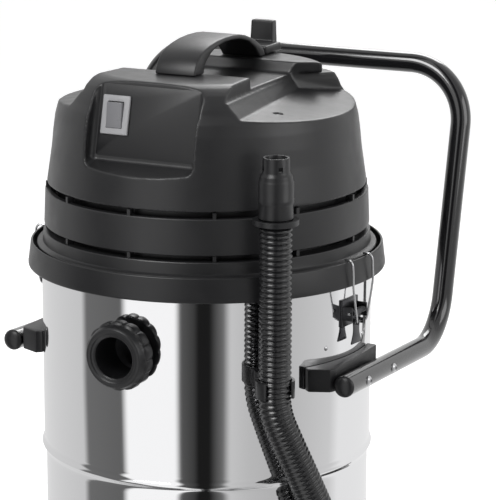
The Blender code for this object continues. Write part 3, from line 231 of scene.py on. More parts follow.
def material(name, colour, roughness, metallic=0.0, coat=0.0, grain=0.0, scale=900.0,
             spread=0.04, stretch=1.0):
    """A finish with a fine grain and a slight change of gloss from place to place."""
    if name in MATERIALS:
        return MATERIALS[name]
    mat = painted(name, { "Base Color": (*colour, 1.0), "Metallic": metallic, "Coat Weight": coat,
            "Coat Roughness": 0.08 })
    tree = mat.node_tree
    shader = tree.nodes["Principled BSDF"]
    spots = node(tree, "TexCoord").outputs["Object"]
    spots = node(tree, "Mapping", (("Vector", spots), ("Scale", (1.0, 1.0, stretch)))).outputs[0]
    broad = node(tree, "TexNoise", (("Vector", spots), ("Scale", 35.0), ("Detail", 3.0)))
    gloss = node(tree, "MapRange", (("Value", broad.outputs["Fac"]), ("From Min", 0.3), ("From Max", 0.7),
            ("To Min", roughness - spread), ("To Max", roughness + spread)))
    tree.links.new(gloss.outputs[0], shader.inputs["Roughness"])
    if grain > 0.0:
        fine = node(tree, "TexNoise", (("Vector", spots), ("Scale", scale), ("Detail", 2.0)))
        bump = node(tree, "Bump", (("Height", fine.outputs["Fac"]),
                ("Strength", grain), ("Distance", 0.0003)))
        tree.links.new(bump.outputs[0], shader.inputs["Normal"])
    MATERIALS[name] = mat
    return mat


FINISHES = {
    "stainless": ((0.86, 0.86, 0.87), 0.055, dict(metallic=1.0, spread=0.015, stretch=0.15)),
    "black_plastic": ((0.009, 0.009, 0.01), 0.36, dict(grain=0.25, scale=1400.0)),
    "head_plastic": ((0.015, 0.015, 0.016), 0.36, dict(grain=0.22, scale=1300.0)),
    "grey_plastic": ((0.16, 0.16, 0.17), 0.45, dict(grain=0.2)),
    "rubber": ((0.013, 0.013, 0.013), 0.7, dict(grain=0.3)),
    "tyre_rubber": ((0.014, 0.014, 0.014), 0.66, dict(grain=0.35, scale=700.0)),
    "hose_vinyl": ((0.01, 0.01, 0.011), 0.26, dict(coat=0.3, grain=0.05)),
    "plated_steel": ((0.62, 0.62, 0.63), 0.22, dict(metallic=1.0, grain=0.06, spread=0.06)),
    "black_enamel": ((0.006, 0.006, 0.007), 0.16, dict(coat=0.9, spread=0.03)),
    "dark_steel": ((0.085, 0.085, 0.09), 0.32, dict(metallic=1.0, grain=0.1)),
    "switch_grey": ((0.33, 0.33, 0.34), 0.34, dict(grain=0.05)),
    "switch_dark": ((0.17, 0.17, 0.18), 0.3, dict(grain=0.05)),
    "motor_metal": ((0.45, 0.45, 0.47), 0.38, dict(metallic=1.0, grain=0.2, scale=500.0)),
    "white_plastic": ((0.75, 0.75, 0.73), 0.45, dict(grain=0.1)),
    "filter_cloth": ((0.6, 0.58, 0.54), 0.92, dict(grain=1.0, scale=380.0)),
    "float_orange": ((0.72, 0.22, 0.04), 0.35, dict(grain=0.05)),
}


def finish_of(slot):
    colour, roughness, extra = FINISHES[slot]
    return material(slot, colour, roughness, **extra)


# ---- mesh helpers
def smooth(obj, degrees=35.0):
    obj.data.shade_smooth()
    obj.data.set_sharp_from_angle(angle=radians(degrees))
    return obj


def from_rows(name, rows, closed_rows, closed_profile, caps=False):
    """A grid of points; each row is a loop or a strip, and rows may close on the first."""
    count = len(rows[0])
    points = [tuple(p) for row in rows for p in row]
    faces = []
    last = len(rows) if closed_rows else len(rows) - 1
    side = count if closed_profile else count - 1
    for i in range(last):
        a, b = i * count, (i + 1) % len(rows) * count
        for j in range(side):
            k = (j + 1) % count
            faces.append((a + j, a + k, b + k, b + j))
    if caps:
        faces.append(tuple(range(count)))
        faces.append(tuple(reversed(range((len(rows) - 1) * count, len(rows) * count))))
    mesh = bpy.data.meshes.new(name)
    mesh.from_pydata(points, [], faces)
    bm = bmesh.new()
    bm.from_mesh(mesh)
    bmesh.ops.remove_doubles(bm, verts=bm.verts, dist=1e-6)
    bmesh.ops.recalc_face_normals(bm, faces=bm.faces)
    bm.to_mesh(mesh)
    bm.free()
    return smooth(link(bpy.data.objects.new(name, mesh)))


def lathe(name, profile, steps=128, place=None, closed=True, shape=None):
    """Turn (radius, height) about Z; shape(turn, radius, height) may change a radius."""
    rows = []
    for i in range(steps):
        turn = ROUND * i / steps
        row = []
        for r, z in profile:
            reach = shape(turn, r, z) if shape else r
            row.append((reach * cos(turn), reach * sin(turn), z))
        rows.append(row)
    obj = from_rows(name, rows, True, closed)
    if place is not None:
        obj.data.transform(place)
    return obj


def frames(points):
    """Each point with two directions square to the path, carried along without twist."""
    made = []
    normal = None
    for i, point in enumerate(points):
        ahead = points[min(i + 1, len(points) - 1)] - points[max(i - 1, 0)]
        ahead.normalize()
        if normal is None:
            normal = ahead.orthogonal()
        normal = (normal - ahead * normal.dot(ahead)).normalized()
        made.append((point, normal, ahead.cross(normal)))
    return made


def pipe(name, points, radius, sides):
    """A round bar along points; radius is one number, or a list with one for each point."""
    rows = []
    for i, (point, a, b) in enumerate(frames(points)):
        r = radius[i] if isinstance(radius, list) else radius
        rows.append([point + a * (r * cos(ROUND * j / sides)) + b * (r * sin(ROUND * j / sides))
                     for j in range(sides)])
    return from_rows(name, rows, False, True, caps=True)


def hull(name, outline, low, high, bevel=0.0, segments=3, axes=None):
    """A flat outline pulled between two heights; axes puts its plane elsewhere."""
    bm = bmesh.new()
    face = bm.faces.new([bm.verts.new((x, y, low)) for x, y in outline])
    made = bmesh.ops.extrude_face_region(bm, geom=[face])["geom"]
    bmesh.ops.translate(bm, vec=(0, 0, high - low),
            verts=[v for v in made if isinstance(v, bmesh.types.BMVert)])
    if axes is not None:
        bm.transform(axes)
    bmesh.ops.recalc_face_normals(bm, faces=bm.faces)
    mesh = bpy.data.meshes.new(name)
    bm.to_mesh(mesh)
    bm.free()
    obj = link(bpy.data.objects.new(name, mesh))
    return rounded(obj, bevel, segments) if bevel > 0.0 else obj


def block(name, low, high, bevel=0.0, segments=3):
    outline = [(low[0], low[1]), (high[0], low[1]), (high[0], high[1]), (low[0], high[1])]
    return hull(name, outline, low[2], high[2], bevel, segments)


def loft(name, rings):
    return from_rows(name, rings, False, True, caps=True)


def bar(name, start, end, radius, sides=32):
    return pipe(name, [Vector(start), Vector(end)], radius, sides)


def settle(obj):
    graph = bpy.context.evaluated_depsgraph_get()
    mesh = bpy.data.meshes.new_from_object(obj.evaluated_get(graph))
    obj.modifiers.clear()
    obj.data = mesh
    return obj


def rounded(obj, width, segments=3, degrees=40.0):
    step = obj.modifiers.new("round", "BEVEL")
    step.width = width
    step.segments = segments
    step.limit_method = "ANGLE"
    step.angle_limit = radians(degrees)
    return smooth(settle(obj), 40)


def combine(obj, other, operation):
    step = obj.modifiers.new("boolean", "BOOLEAN")
    step.operation = operation
    step.solver = "EXACT"
    step.object = other
    settle(obj)
    bpy.data.objects.remove(other)
    return obj


def cut(obj, other):
    return combine(obj, other, "DIFFERENCE")


def join(obj, other):
    return combine(obj, other, "UNION")


def moulded(obj, voxel, rounds):
    """Every edge of a moulding softened: remeshed in small cells, then relaxed."""
    cells = obj.modifiers.new("cells", "REMESH")
    cells.mode = "VOXEL"
    cells.voxel_size = voxel
    relax = obj.modifiers.new("relax", "SMOOTH")
    relax.factor = 0.6
    relax.iterations = rounds
    settle(obj)
    obj.data.shade_smooth()
    return obj


def arc(centre, radius, start, end, count):
    turns = [radians(start + (end - start) * i / count) for i in range(count + 1)]
    return [(centre[0] + radius * cos(t), centre[1] + radius * sin(t)) for t in turns]


def shifted(r, z, points):
    return [(r + a, z + b) for a, b in points]


def both_ends(points):
    """A profile and its mirror image about height zero."""
    return points + [(r, -z) for r, z in reversed(points)]


def at(x, y, z):
    return Matrix.Translation((x, y, z))


def polar(rho, azimuth, z):
    return Vector((rho * sin(azimuth), -rho * cos(azimuth), z))


def spin(azimuth):
    """Turns a piece modelled at +X to an angle from the front."""
    return Matrix.Rotation(azimuth - pi / 2.0, 4, "Z")


def fillet(corner, before, after, radius, count):
    to_start = (before - corner).normalized()
    to_end = (after - corner).normalized()
    half = to_start.angle(to_end) / 2.0
    centre = corner + (to_start + to_end).normalized() * (radius / sin(half))
    first = corner + to_start * (radius / tan(half)) - centre
    last = corner + to_end * (radius / tan(half)) - centre
    sweep = first.angle(last)
    made = []
    for t in (i / count for i in range(count + 1)):
        made.append(centre + (first * sin((1 - t) * sweep) + last * sin(t * sweep)) / sin(sweep))
    return made


def smooth_path(knots, step):
    """Points a fixed step apart on a Catmull-Rom curve through the knots."""
    spots = [knots[0]] + list(knots) + [knots[-1]]
    fine = []
    for a, b, c, d in zip(spots, spots[1:], spots[2:], spots[3:]):
        for i in range(60):
            t = i / 60.0
            fine.append(0.5 * (2 * b + (c - a) * t + (2 * a - 5 * b + 4 * c - d) * t ** 2
                               + (3 * b - a - 3 * c + d) * t ** 3))
    fine.append(knots[-1])
    lengths = np.concatenate([[0.0], np.cumsum([(b - a).length for a, b in zip(fine, fine[1:])])])
    goals = np.linspace(0.0, lengths[-1], max(2, round(lengths[-1] / step)) + 1)
    columns = [np.interp(goals, lengths, [p[i] for p in fine]) for i in range(3)]
    return [Vector(p) for p in zip(*columns)], float(lengths[-1])


def show(obj, body, slot, *replaced):
    """Finish a piece, put it in the row frame and let it stand for its CAD nodes."""
    obj.data.transform(at(0.0, DRUM_Y, 0.0))
    obj.data.materials.clear()
    obj.data.materials.append(finish_of(slot))
    if replaced:
        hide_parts(*replaced)
    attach(obj, body)
    return obj


def mirrored(obj, name):
    mesh = obj.data.copy()
    mesh.transform(Matrix.Scale(-1.0, 4, (1.0, 0.0, 0.0)))
    mesh.flip_normals()
    return link(bpy.data.objects.new(name, mesh))


# ---- drum
def outlet_corner():
    before, end = hose_knots()[-2:]
    return end + (end - before) * ((end.z - OUTLET_Z) / (before.z - end.z))


def outlet_outward():
    corner = outlet_corner()
    return Vector((corner.x, corner.y, 0.0)).normalized()


def build_tank():
    low_r = TANK_R - 0.0025
    floor = FLOOR_PLATE + 0.0083
    outer = [(0.0, floor)] + shifted(low_r, floor, [(-0.022, 0.0), (-0.013, 0.0012), (-0.007, 0.005),
            (-0.0022, 0.011), (0.0, 0.02)])
    outer += [(low_r, z) for z in np.linspace(OUTLET_Z - 0.036, OUTLET_Z + 0.036, 13)]
    outer += [(low_r, BEAD_Z - 0.016)]
    for i in range(17):
        t = i / 16.0
        base = low_r + (TANK_R - low_r) * t
        swell = exp(-((t - 0.5) * 5.2) ** 2)
        outer.append((base + (TANK_R + 0.003 - base) * swell, BEAD_Z - 0.012 + 0.024 * t))
    outer += [(TANK_R, z) for z in np.linspace(INLET_Z - 0.045, INLET_Z + 0.045, 16)]
    outer += [(TANK_R, RING_Z - 0.01), (TANK_R, RIM_Z)]
    inner = [(max(r - SHEET, 0.0),
              z + (SHEET if z < floor + 0.006 else 0.0)) for r, z in reversed(outer[:-1])]
    tank = lathe("tank_fine", outer + [(TANK_R - SHEET, RIM_Z)] + inner, 240, closed=False)
    cut(tank, bar("inlet_hole", (0, -TANK_R - 0.03, INLET_Z), (0, -TANK_R + 0.04,
            INLET_Z), NECK_R + 0.0005, 64))
    outward = outlet_outward()
    through = Vector((0.0, 0.0, OUTLET_Z)) + outward * TANK_R
    cut(tank, bar("outlet_hole", through - outward * 0.03, through + outward * 0.03, OUTLET_R + 0.001, 48))
    show(smooth(tank, 30), "tank", "stainless", "tank")


def build_ring():
    ring_in = TANK_R + 0.0004
    top = RING_Z + RING_H
    outer = [(RING_R - 0.0062, top - 0.0002)] + arc((RING_R - 0.0056, top - 0.0022), 0.0022, 90, 12, 6)
    outer += [(RING_R - 0.0006, RING_Z + 0.008), (RING_R, RING_Z + 0.0045)]
    outer += arc((RING_R - 0.0022, RING_Z + 0.0022), 0.0022, 0, -90, 6)
    outer += shifted(ring_in, RING_Z, [(0.0008, 0.0), (0.0, 0.0008), (0.0, 0.0036), (0.0006, 0.0042)])
    outer += shifted(RING_R, RING_Z, [(-0.0048, 0.0046), (-0.0034, 0.006)])
    outer += [(RING_R - 0.0068, top - 0.0018)]
    show(lathe("tank_ring_fine", outer, 240), "tank", "black_plastic", "tank_ring")
    mid = TANK_R - SHEET / 2.0
    seal = arc((mid, RIM_Z + 0.00215), 0.0018, 0, 360, 11)[:-1]
    seal = [(mid + (x - mid) * 2.6, z) for x, z in seal]
    show(lathe("tank_gasket_fine", seal, 160), "tank", "rubber", "tank_gasket")


def build_rivets():
    """Rivet heads above the handle brackets."""
    for side in (-1.0, 1.0):
        for y, z in ((-0.07, -0.079), (0.02, -0.079)):
            x = side * sqrt(TANK_R ** 2 - y ** 2)
            out = Vector((x, y, 0.0)).normalized()
            dome = [
                (0.0, 0.0014), (0.0012, 0.0013), (0.0024, 0.0009), (0.0032, 0.0), (0.0032, -0.0012),
                (0.0, -0.0012)
            ]
            place = at(x, y, RING_Z + z) @ out.to_track_quat("Z", "Y").to_matrix().to_4x4()
            name = "rivet_%s_%d" % ("left" if side < 0 else "right", 1 if y < 0 else 2)
            show(lathe(name, dome, 32, place, closed=False), "tank", "plated_steel")


def facing_front(z):
    return at(0.0, 0.0, z) @ TO_FRONT


def build_inlet():
    sag = TANK_R - sqrt(TANK_R ** 2 - 0.034 ** 2)
    inner = TANK_R - sag - 0.0158
    flange = TANK_R + 0.0005
    neck = [
        (NECK_R - 0.0012, 0.254), (NECK_R - 0.0004, 0.2532), (NECK_R, 0.25), (NECK_R, flange + 0.0042),
        (NECK_R + 0.0008, flange + 0.0035), (0.0334, flange + 0.0035), (0.034, flange + 0.003),
        (0.034, flange), (NECK_R, flange), (NECK_R, inner), (INLET_R, inner), (INLET_R, 0.2532),
        (INLET_R + 0.0008, 0.254)
    ]
    show(lathe("inlet_neck_fine", neck, 96, facing_front(INLET_Z)), "tank", "black_plastic", "inlet_neck")
    top = TANK_R - SHEET - sag - 0.0024
    nut = [
        (0.0392, top), (0.04, top - 0.0008), (0.04, top - 0.0072), (0.0392, top - 0.008),
        (NECK_R + 0.0003, top - 0.008), (NECK_R + 0.0003, top)
    ]

    def flats(turn, r, z):
        return r - (0.0022 * (0.5 + 0.5 * cos(12 * turn)) if r > 0.039 else 0.0)
    show(lathe("inlet_locknut_fine", nut, 144, facing_front(INLET_Z), shape=flats), "tank",
         "grey_plastic", "inlet_locknut")

    back = 0.23
    front = 0.257
    face = 0.0395
    profile = shifted(0.0, back, [
        (NECK_R + 0.0006, 0.0004), (0.0425, 0.0), (0.0444, 0.0012), (0.045, 0.003), (0.045, 0.0125),
        (0.0446, 0.015), (0.043, 0.0165), (face + 0.0022, 0.0172), (face + 0.0012, 0.0195)
    ])
    profile += shifted(0.0, front, [
        (face, -0.003), (face - 0.0008, -0.0012), (face - 0.0022, -0.0001), (face - 0.0034, 0.0),
        (0.033, 0.0), (0.0322, -0.0003), (0.0312, -0.0012), (0.0306, -0.0014), (INLET_R + 0.0012, -0.0016),
        (INLET_R + 0.0003, -0.0022), (INLET_R, -0.0026), (NECK_R + 0.0006, -0.0026)
    ])

    def lobes(turn, r, z):
        if r < 0.0418:
            return r
        wave = abs(sin(7.0 * turn)) ** 0.55
        return r - 0.0025 * (1.0 - wave) * min(1.0, (r - 0.0418) / 0.0012)
    collar = lathe("inlet_collar_fine", profile, 336, facing_front(INLET_Z), shape=lobes)
    show(smooth(collar, 32), "collar", "black_plastic", "inlet_collar")

    mouth = inner - GAP
    turn_y = -mouth + 0.046
    start = Vector((0, -mouth, INLET_Z))
    end = Vector((0, turn_y, INLET_Z - 0.06))
    knots = [start] + fillet(Vector((0, turn_y, INLET_Z)), start, end, 0.036, 14) + [end]
    elbow = pipe("inlet_deflector_fine", knots, 0.03, 48)
    inside = [knots[0] + Vector((0, -0.01, 0))] + knots[1:-1] + [knots[-1] + Vector((0, 0, -0.01))]
    cut(elbow, pipe("deflector_bore", inside, 0.028, 48))
    show(smooth(elbow), "tank", "grey_plastic", "inlet_deflector")


# ---- drain hose
def hose_knots():
    slant = RING_Z - 0.124
    end = OUTLET_Z + 0.038
    knots = [polar(HOSE_RHO, HOSE_AZ, CUFF_Z - 0.0003)]
    for drop in (-0.06, 0.0, 0.06, 0.1, 0.124):
        knots.append(polar(HOSE_RHO, HOSE_AZ, RING_Z - drop))
    for share, turn, inward in ((0.118, 1.1, 0.0002), (0.255, 3.7, 0.0005), (0.471, 8.3, 0.0015),
                                (0.686, 13.1, 0.0035), (0.878, 17.5, 0.0055), (1.0, 20.4, 0.0065)):
        z = slant + (end - slant) * share
        knots.append(polar(HOSE_RHO - inward, HOSE_AZ + radians(turn), z))
    return knots


def build_hose():
    path, length = smooth_path(hose_knots(), HOSE_PITCH / 8.0)
    step = length / (len(path) - 1)
    radii = []
    for i in range(len(path)):
        wave = 0.5 + 0.5 * cos(ROUND * i * step / HOSE_PITCH)
        near = min(i, len(path) - 1 - i) * step
        crest = HOSE_R if near > 0.004 else HOSE_R - 0.0006
        radii.append(crest - 0.0026 * (1.0 - wave ** 0.62))
    hose = pipe("drain_hose_fine", path, radii, 40)
    show(smooth(hose, 70), "tank", "hose_vinyl", "drain_hose")

    low = CUFF_Z
    r = HOSE_R
    cuff = [(0.0, low)] + shifted(r, low, [(0.0004, 0.0), (0.0008, 0.0004), (0.0005, 0.017), (0.0012, 0.0184),
            (0.0018, 0.02), (0.0018, 0.0245), (0.0012, 0.0258), (0.0012, 0.0455), (0.0006, 0.0468),
            (-0.0002, 0.0492), (-0.0004, 0.052), (-0.001, 0.054), (-0.003, 0.056), (-0.0038, 0.0585),
            (-0.0042, 0.0745), (-0.0048, 0.076), (-0.0072, 0.076), (-0.0076, 0.075),
            (-0.0085, 0.02)]) + [(0.0, low + 0.02)]
    piece = lathe("drain_cuff_fine", cuff, 96, closed=False)
    for i in range(4):
        notch = block("notch", (0.01, -0.0026, low + 0.0605), (0.03, 0.0026, low + 0.066))
        notch.data.transform(Matrix.Rotation(ROUND * (i + 0.5) / 4.0, 4, "Z"))
        cut(piece, notch)
    piece.data.transform(Matrix.Translation(polar(HOSE_RHO, HOSE_AZ, 0.0)))
    cuff_piece = show(smooth(piece), "tank", "black_plastic", "drain_cuff")


def build_hose_mounts():
    top = CUFF_Z - 0.001
    loop = shifted(HOSE_R, top, [
        (0.0004, -0.0006), (0.001, 0.0), (0.0072, 0.0), (0.0078, -0.0006), (0.0078, -0.0064),
        (0.0072, -0.007), (0.001, -0.007), (0.0004, -0.0064)
    ])
    ring = lathe("cuff_holder_fine", loop, 96, at(HOSE_RHO, 0.0, 0.0))
    strut = block("strut", (RING_R - 0.0065, -0.009, RING_Z + RING_H + 0.0003),
            (RING_R - 0.0013, 0.009, top - 0.0005), 0.0014)
    join(ring, strut)
    ring.data.transform(spin(HOSE_AZ))
    show(smooth(ring), "tank", "black_plastic", "cuff_holder")

    clip_z = RING_Z - 0.106
    jaws = arc((HOSE_RHO, 0.0), HOSE_R + 0.0042, 48, 312, 48) + arc((HOSE_RHO, 0.0),
            HOSE_R + 0.0008, 312, 48, 48)
    clip = hull("hose_clip_fine", jaws, clip_z - 0.011, clip_z + 0.011)
    foot = block("clip_foot", (TANK_R - 0.004, -0.011, clip_z - 0.011),
            (HOSE_RHO - HOSE_R - 0.0022, 0.011, clip_z + 0.011))
    join(clip, foot)
    cut(clip, bar("drum_face", (0, 0, BEAD_Z), (0, 0, RING_Z), TANK_R + GAP, 240))
    clip.data.transform(spin(HOSE_AZ))
    show(rounded(clip, 0.0007, 2, 50.0), "tank", "black_plastic", "hose_clip")


def build_outlet():
    knots = hose_knots()
    corner = outlet_corner()
    fall = (corner - knots[-1]).normalized()
    start = knots[-1] + fall * 0.0003
    outward = outlet_outward()
    drum_side = Vector((0.0, 0.0, OUTLET_Z)) + outward * (TANK_R - 0.012)
    bend = fillet(corner, start, drum_side, OUTLET_R + 0.0025, 14)
    elbow = pipe("drain_outlet_fine", [start] + bend + [drum_side], OUTLET_R, 48)
    inside = [start - fall * 0.003] + bend + [drum_side - outward * 0.005]
    cut(elbow, pipe("outlet_bore", inside, OUTLET_R - 0.0035, 48))
    show(smooth(elbow), "tank", "black_plastic", "drain_outlet")


# ---- trolley
def build_trolley():
    floor = FLOOR_PLATE
    seat = TANK_R - 0.0019
    rim = BASE_RIM_R
    profile = [
        (0.0, floor + 0.008), (seat, floor + 0.008), (seat, BASE_RIM_Z - 0.001), (seat + 0.001, BASE_RIM_Z)
    ]
    profile += shifted(rim, BASE_RIM_Z, [
        (-0.0028, 0.0), (-0.0008, -0.0008), (0.0, -0.0028), (0.0, -0.02), (-0.0012, -0.022)
    ])
    profile += shifted(rim, floor, [(-0.0012, 0.02), (0.0, 0.018), (0.0, 0.007), (-0.0018, 0.0018),
            (-0.006, 0.0)]) + [(0.0, floor)]
    base = lathe("trolley_base_fine", profile, 192, closed=False)
    for side in (-1.0, 1.0):
        x = side * CASTER_XY
        join(base, bar("boss", (x, -CASTER_XY, 0.094), (x, -CASTER_XY, floor + 0.004), 0.03, 48))
        cut(base, bar("stem_hole", (x, -CASTER_XY, 0.084), (x, -CASTER_XY, 0.122), 0.0068, 32))
        ear = side * 0.1408
        join(base, block("ear", (ear - 0.009, AXLE_Y - 0.022, WHEEL_R - 0.02),
                (ear + 0.009, AXLE_Y + 0.022, floor + 0.004), 0.0015))
        cut(base, bar("axle_hole", (ear - 0.02, AXLE_Y, WHEEL_R), (ear + 0.02, AXLE_Y, WHEEL_R), 0.0083, 48))
    show(smooth(base, 30), "tank", "black_plastic", "trolley_base")

    end = 0.279
    axle = both_ends([(0.0, -end), (0.007, -end), (0.008, -end + 0.001)])
    across = at(0.0, AXLE_Y, WHEEL_R) @ TO_SIDE
    show(lathe("rear_axle_fine", axle, 48, across, closed=False), "tank", "plated_steel", "rear_axle")


def build_wheels():
    hub_r = WHEEL_R - 0.014
    half = 0.021
    hub = [
        (hub_r, half - 0.004), (hub_r, -half + 0.004), (hub_r - 0.01, -half + 0.004),
        (hub_r - 0.012, -half + 0.006), (hub_r - 0.016, -0.007), (hub_r - 0.018, -0.006), (0.033, -0.006),
        (0.03, -0.008), (0.0275, -half + 0.001), (0.026, -half), (0.0084, -half), (0.0084, half),
        (0.026, half), (0.0275, half - 0.001), (0.03, 0.01), (0.033, 0.008), (hub_r - 0.018, 0.008),
        (hub_r - 0.016, 0.009), (hub_r - 0.012, half - 0.006), (hub_r - 0.01, half - 0.004)
    ]
    tread = both_ends([
        (hub_r + 0.0003, half - 0.002), (WHEEL_R - 0.007, half), (WHEEL_R - 0.004, half - 0.0012),
        (WHEEL_R - 0.0012, half - 0.004), (WHEEL_R, half - 0.007), (WHEEL_R, 0.0055),
        (WHEEL_R - 0.0012, 0.005), (WHEEL_R - 0.0012, 0.0035), (WHEEL_R, 0.003)
    ])
    for word, side in (("left", -1.0), ("right", 1.0)):
        place = at(side * (0.231 + half), AXLE_Y, WHEEL_R) @ Matrix.Rotation(side * pi / 2.0, 4, "Y")
        wheel = lathe("wheel_fine_" + word, hub, 128)
        for i in range(6):
            hole = bar("spoke_gap", (0.058, 0, -0.03), (0.058, 0, 0.03), 0.014, 40)
            hole.data.transform(Matrix.Rotation(ROUND * i / 6.0, 4, "Z"))
            cut(wheel, hole)
        wheel.data.transform(place)
        show(smooth(wheel, 30), "wheel_" + word, "grey_plastic", "wheel_" + word)
        show(smooth(lathe("tyre_fine_" + word, tread, 128, place), 40), "wheel_" + word,
             "tyre_rubber", "tyre_" + word)


def build_casters():
    plate_z = 0.0934
    wheel_y = -CASTER_XY + 0.026
    for word, side in (("left", -1.0), ("right", 1.0)):
        x = side * CASTER_XY
        fork = block("caster_fork_fine_" + word, (x - 0.018, wheel_y - 0.046, plate_z - 0.005),
                (x + 0.018, wheel_y + 0.014, plate_z), 0.0012)
        for cheek in (-1.0, 1.0):
            near = x + cheek * 0.0132
            far = x + cheek * 0.0162
            outline = [(wheel_y - 0.03, plate_z - 0.002), (wheel_y + 0.012, plate_z - 0.002)]
            outline += arc((wheel_y, CASTER_R), 0.0115, 0, -180, 16)
            panel = hull("cheek", outline, min(near, far), max(near, far), 0.0005, 2, UPRIGHT)
            join(fork, panel)
        join(fork, bar("stem", (x, -CASTER_XY, plate_z - 0.003), (x, -CASTER_XY, 0.118), 0.006, 32))
        cut(fork, bar("axle_cut", (x - 0.03, wheel_y, CASTER_R), (x + 0.03, wheel_y, CASTER_R), 0.0033, 24))
        show(smooth(fork, 30), "caster_" + word, "plated_steel", "caster_fork_" + word)
        wide = 0.012
        rim = [
            (CASTER_R - 0.0045, wide), (CASTER_R - 0.0018, wide - 0.0012), (CASTER_R, wide - 0.0045),
            (CASTER_R, -wide + 0.0045), (CASTER_R - 0.0018, -wide + 0.0012), (CASTER_R - 0.0045, -wide),
            (0.028, -wide), (0.0265, -wide + 0.0025), (0.012, -wide + 0.0025), (0.01, -wide),
            (0.0034, -wide), (0.0034, wide), (0.01, wide), (0.012, wide - 0.0025), (0.0265, wide - 0.0025),
            (0.028, wide)
        ]
        place = at(x, wheel_y, CASTER_R) @ TO_SIDE
        show(smooth(lathe("caster_wheel_fine_" + word, rim, 96, place), 35), "caster_wheel_" + word,
             "tyre_rubber", "caster_wheel_" + word)
        pin = both_ends([(0.0, 0.019), (0.0026, 0.019), (0.003, 0.0186)])
        show(lathe("caster_axle_fine_" + word, pin, 32, place, closed=False), "caster_" + word,
             "plated_steel", "caster_axle_" + word)


# ---- push handle
def leg_height(y):
    return RING_Z - 0.1183 - (y - HANDLE_FRONT_Y) * tan(LEG_DIP)


def build_handle():
    front = Vector((HANDLE_X, HANDLE_FRONT_Y, leg_height(HANDLE_FRONT_Y)))
    top_z = RING_Z + 0.237
    corner = Vector((HANDLE_X, HANDLE_CORNER_Y, leg_height(HANDLE_CORNER_Y)))
    top = Vector((HANDLE_X, HANDLE_CORNER_Y + (top_z - corner.z) * tan(LEG_LEAN), top_z))
    middle = Vector((0.0, top.y, top.z))
    side = [front] + fillet(corner, front, top, 0.075, 28) + fillet(top, corner, middle, 0.082, 32)
    path = side + [Vector((-p.x, p.y, p.z)) for p in reversed(side)]
    slope = (path[1] - path[0]).normalized()
    tube = pipe("push_handle_fine", path, HANDLE_R, 48)
    for side in (-1.0, 1.0):
        for y in BOLT_YS:
            z = leg_height(y)
            cut(tube, bar("bolt_hole", (side * 0.2205, y, z), (side * 0.2765, y, z), BOLT_HOLE_R, 24))
    show(smooth(tube, 30), "tank", "black_enamel", "push_handle")

    centre = RING_Z - 0.1128
    inner_x = HANDLE_X - HANDLE_R - GAP
    grip = TANK_R + 2.0 * GAP
    outline = [(sqrt(grip ** 2 - y ** 2), y) for y in np.linspace(-0.1035, 0.042, 40)]
    outline += [
        (inner_x - 0.005, 0.042), (inner_x - 0.0015, 0.0405), (inner_x, 0.037), (inner_x, -0.0895),
        (inner_x - 0.001, -0.095), (inner_x - 0.004, -0.0995), (outline[0][0] + 0.008, -0.1105)
    ]
    right = hull("handle_bracket_fine_right", outline, centre - 0.015, centre + 0.015, 0.0016, 3)
    for y in BOLT_YS:
        z = leg_height(y)
        cut(right, bar("thread", (inner_x - 0.015, y, z), (HANDLE_X, y, z), BOLT_HOLE_R, 24))
    smooth(right, 30)
    left = mirrored(right, "handle_bracket_fine_left")
    show(right, "tank", "black_plastic", "handle_bracket_right")
    show(left, "tank", "black_plastic", "handle_bracket_left")
    head = HANDLE_X + HANDLE_R - 0.0002
    tip = inner_x - 0.01
    shape = shifted(0.0, head, [(0.0, 0.0016), (0.0016, 0.0016), (0.0017, 0.0034), (0.003, 0.0031),
            (0.0046, 0.0024), (0.0058, 0.0013), (0.0062, 0.0003), (0.0037,
            0.0003)]) + [(0.0037, tip), (0.0, tip)]

    def hexagon(turn, r, z):
        if 0.0015 < r < 0.0018:
            return r / cos(((turn + pi / 6.0) % (pi / 3.0)) - pi / 6.0) * 1.25
        return r
    for row, y in enumerate(BOLT_YS):
        place = at(0.0, y, leg_height(y)) @ TO_SIDE
        bolt = smooth(lathe("bracket_bolt_fine_right_%d" % (row + 1), shape, 48, place,
                closed=False, shape=hexagon), 30)
        twin = mirrored(bolt, "bracket_bolt_fine_left_%d" % (row + 1))
        show(bolt, "tank", "plated_steel", "bracket_bolt_right_%d" % (row + 1))
        show(twin, "tank", "plated_steel", "bracket_bolt_left_%d" % (row + 1))
    cap = [
        (0.0, 0.006), (0.004, 0.0058), (0.008, 0.005), (0.0112, 0.0038), (0.0132, 0.0022), (0.0139, 0.0008),
        (0.014, 0.0003), (0.0114, 0.0003)
    ]
    turn = (-slope).to_track_quat("Z", "Y").to_matrix().to_4x4()
    right = lathe("handle_cap_fine_right", cap + [(0.0, 0.0003)], 64,
            Matrix.Translation(path[0]) @ turn, closed=False)
    left = mirrored(right, "handle_cap_fine_left")
    show(smooth(right, 50), "tank", "black_plastic", "handle_cap_right")
    show(smooth(left, 50), "tank", "black_plastic", "handle_cap_left")


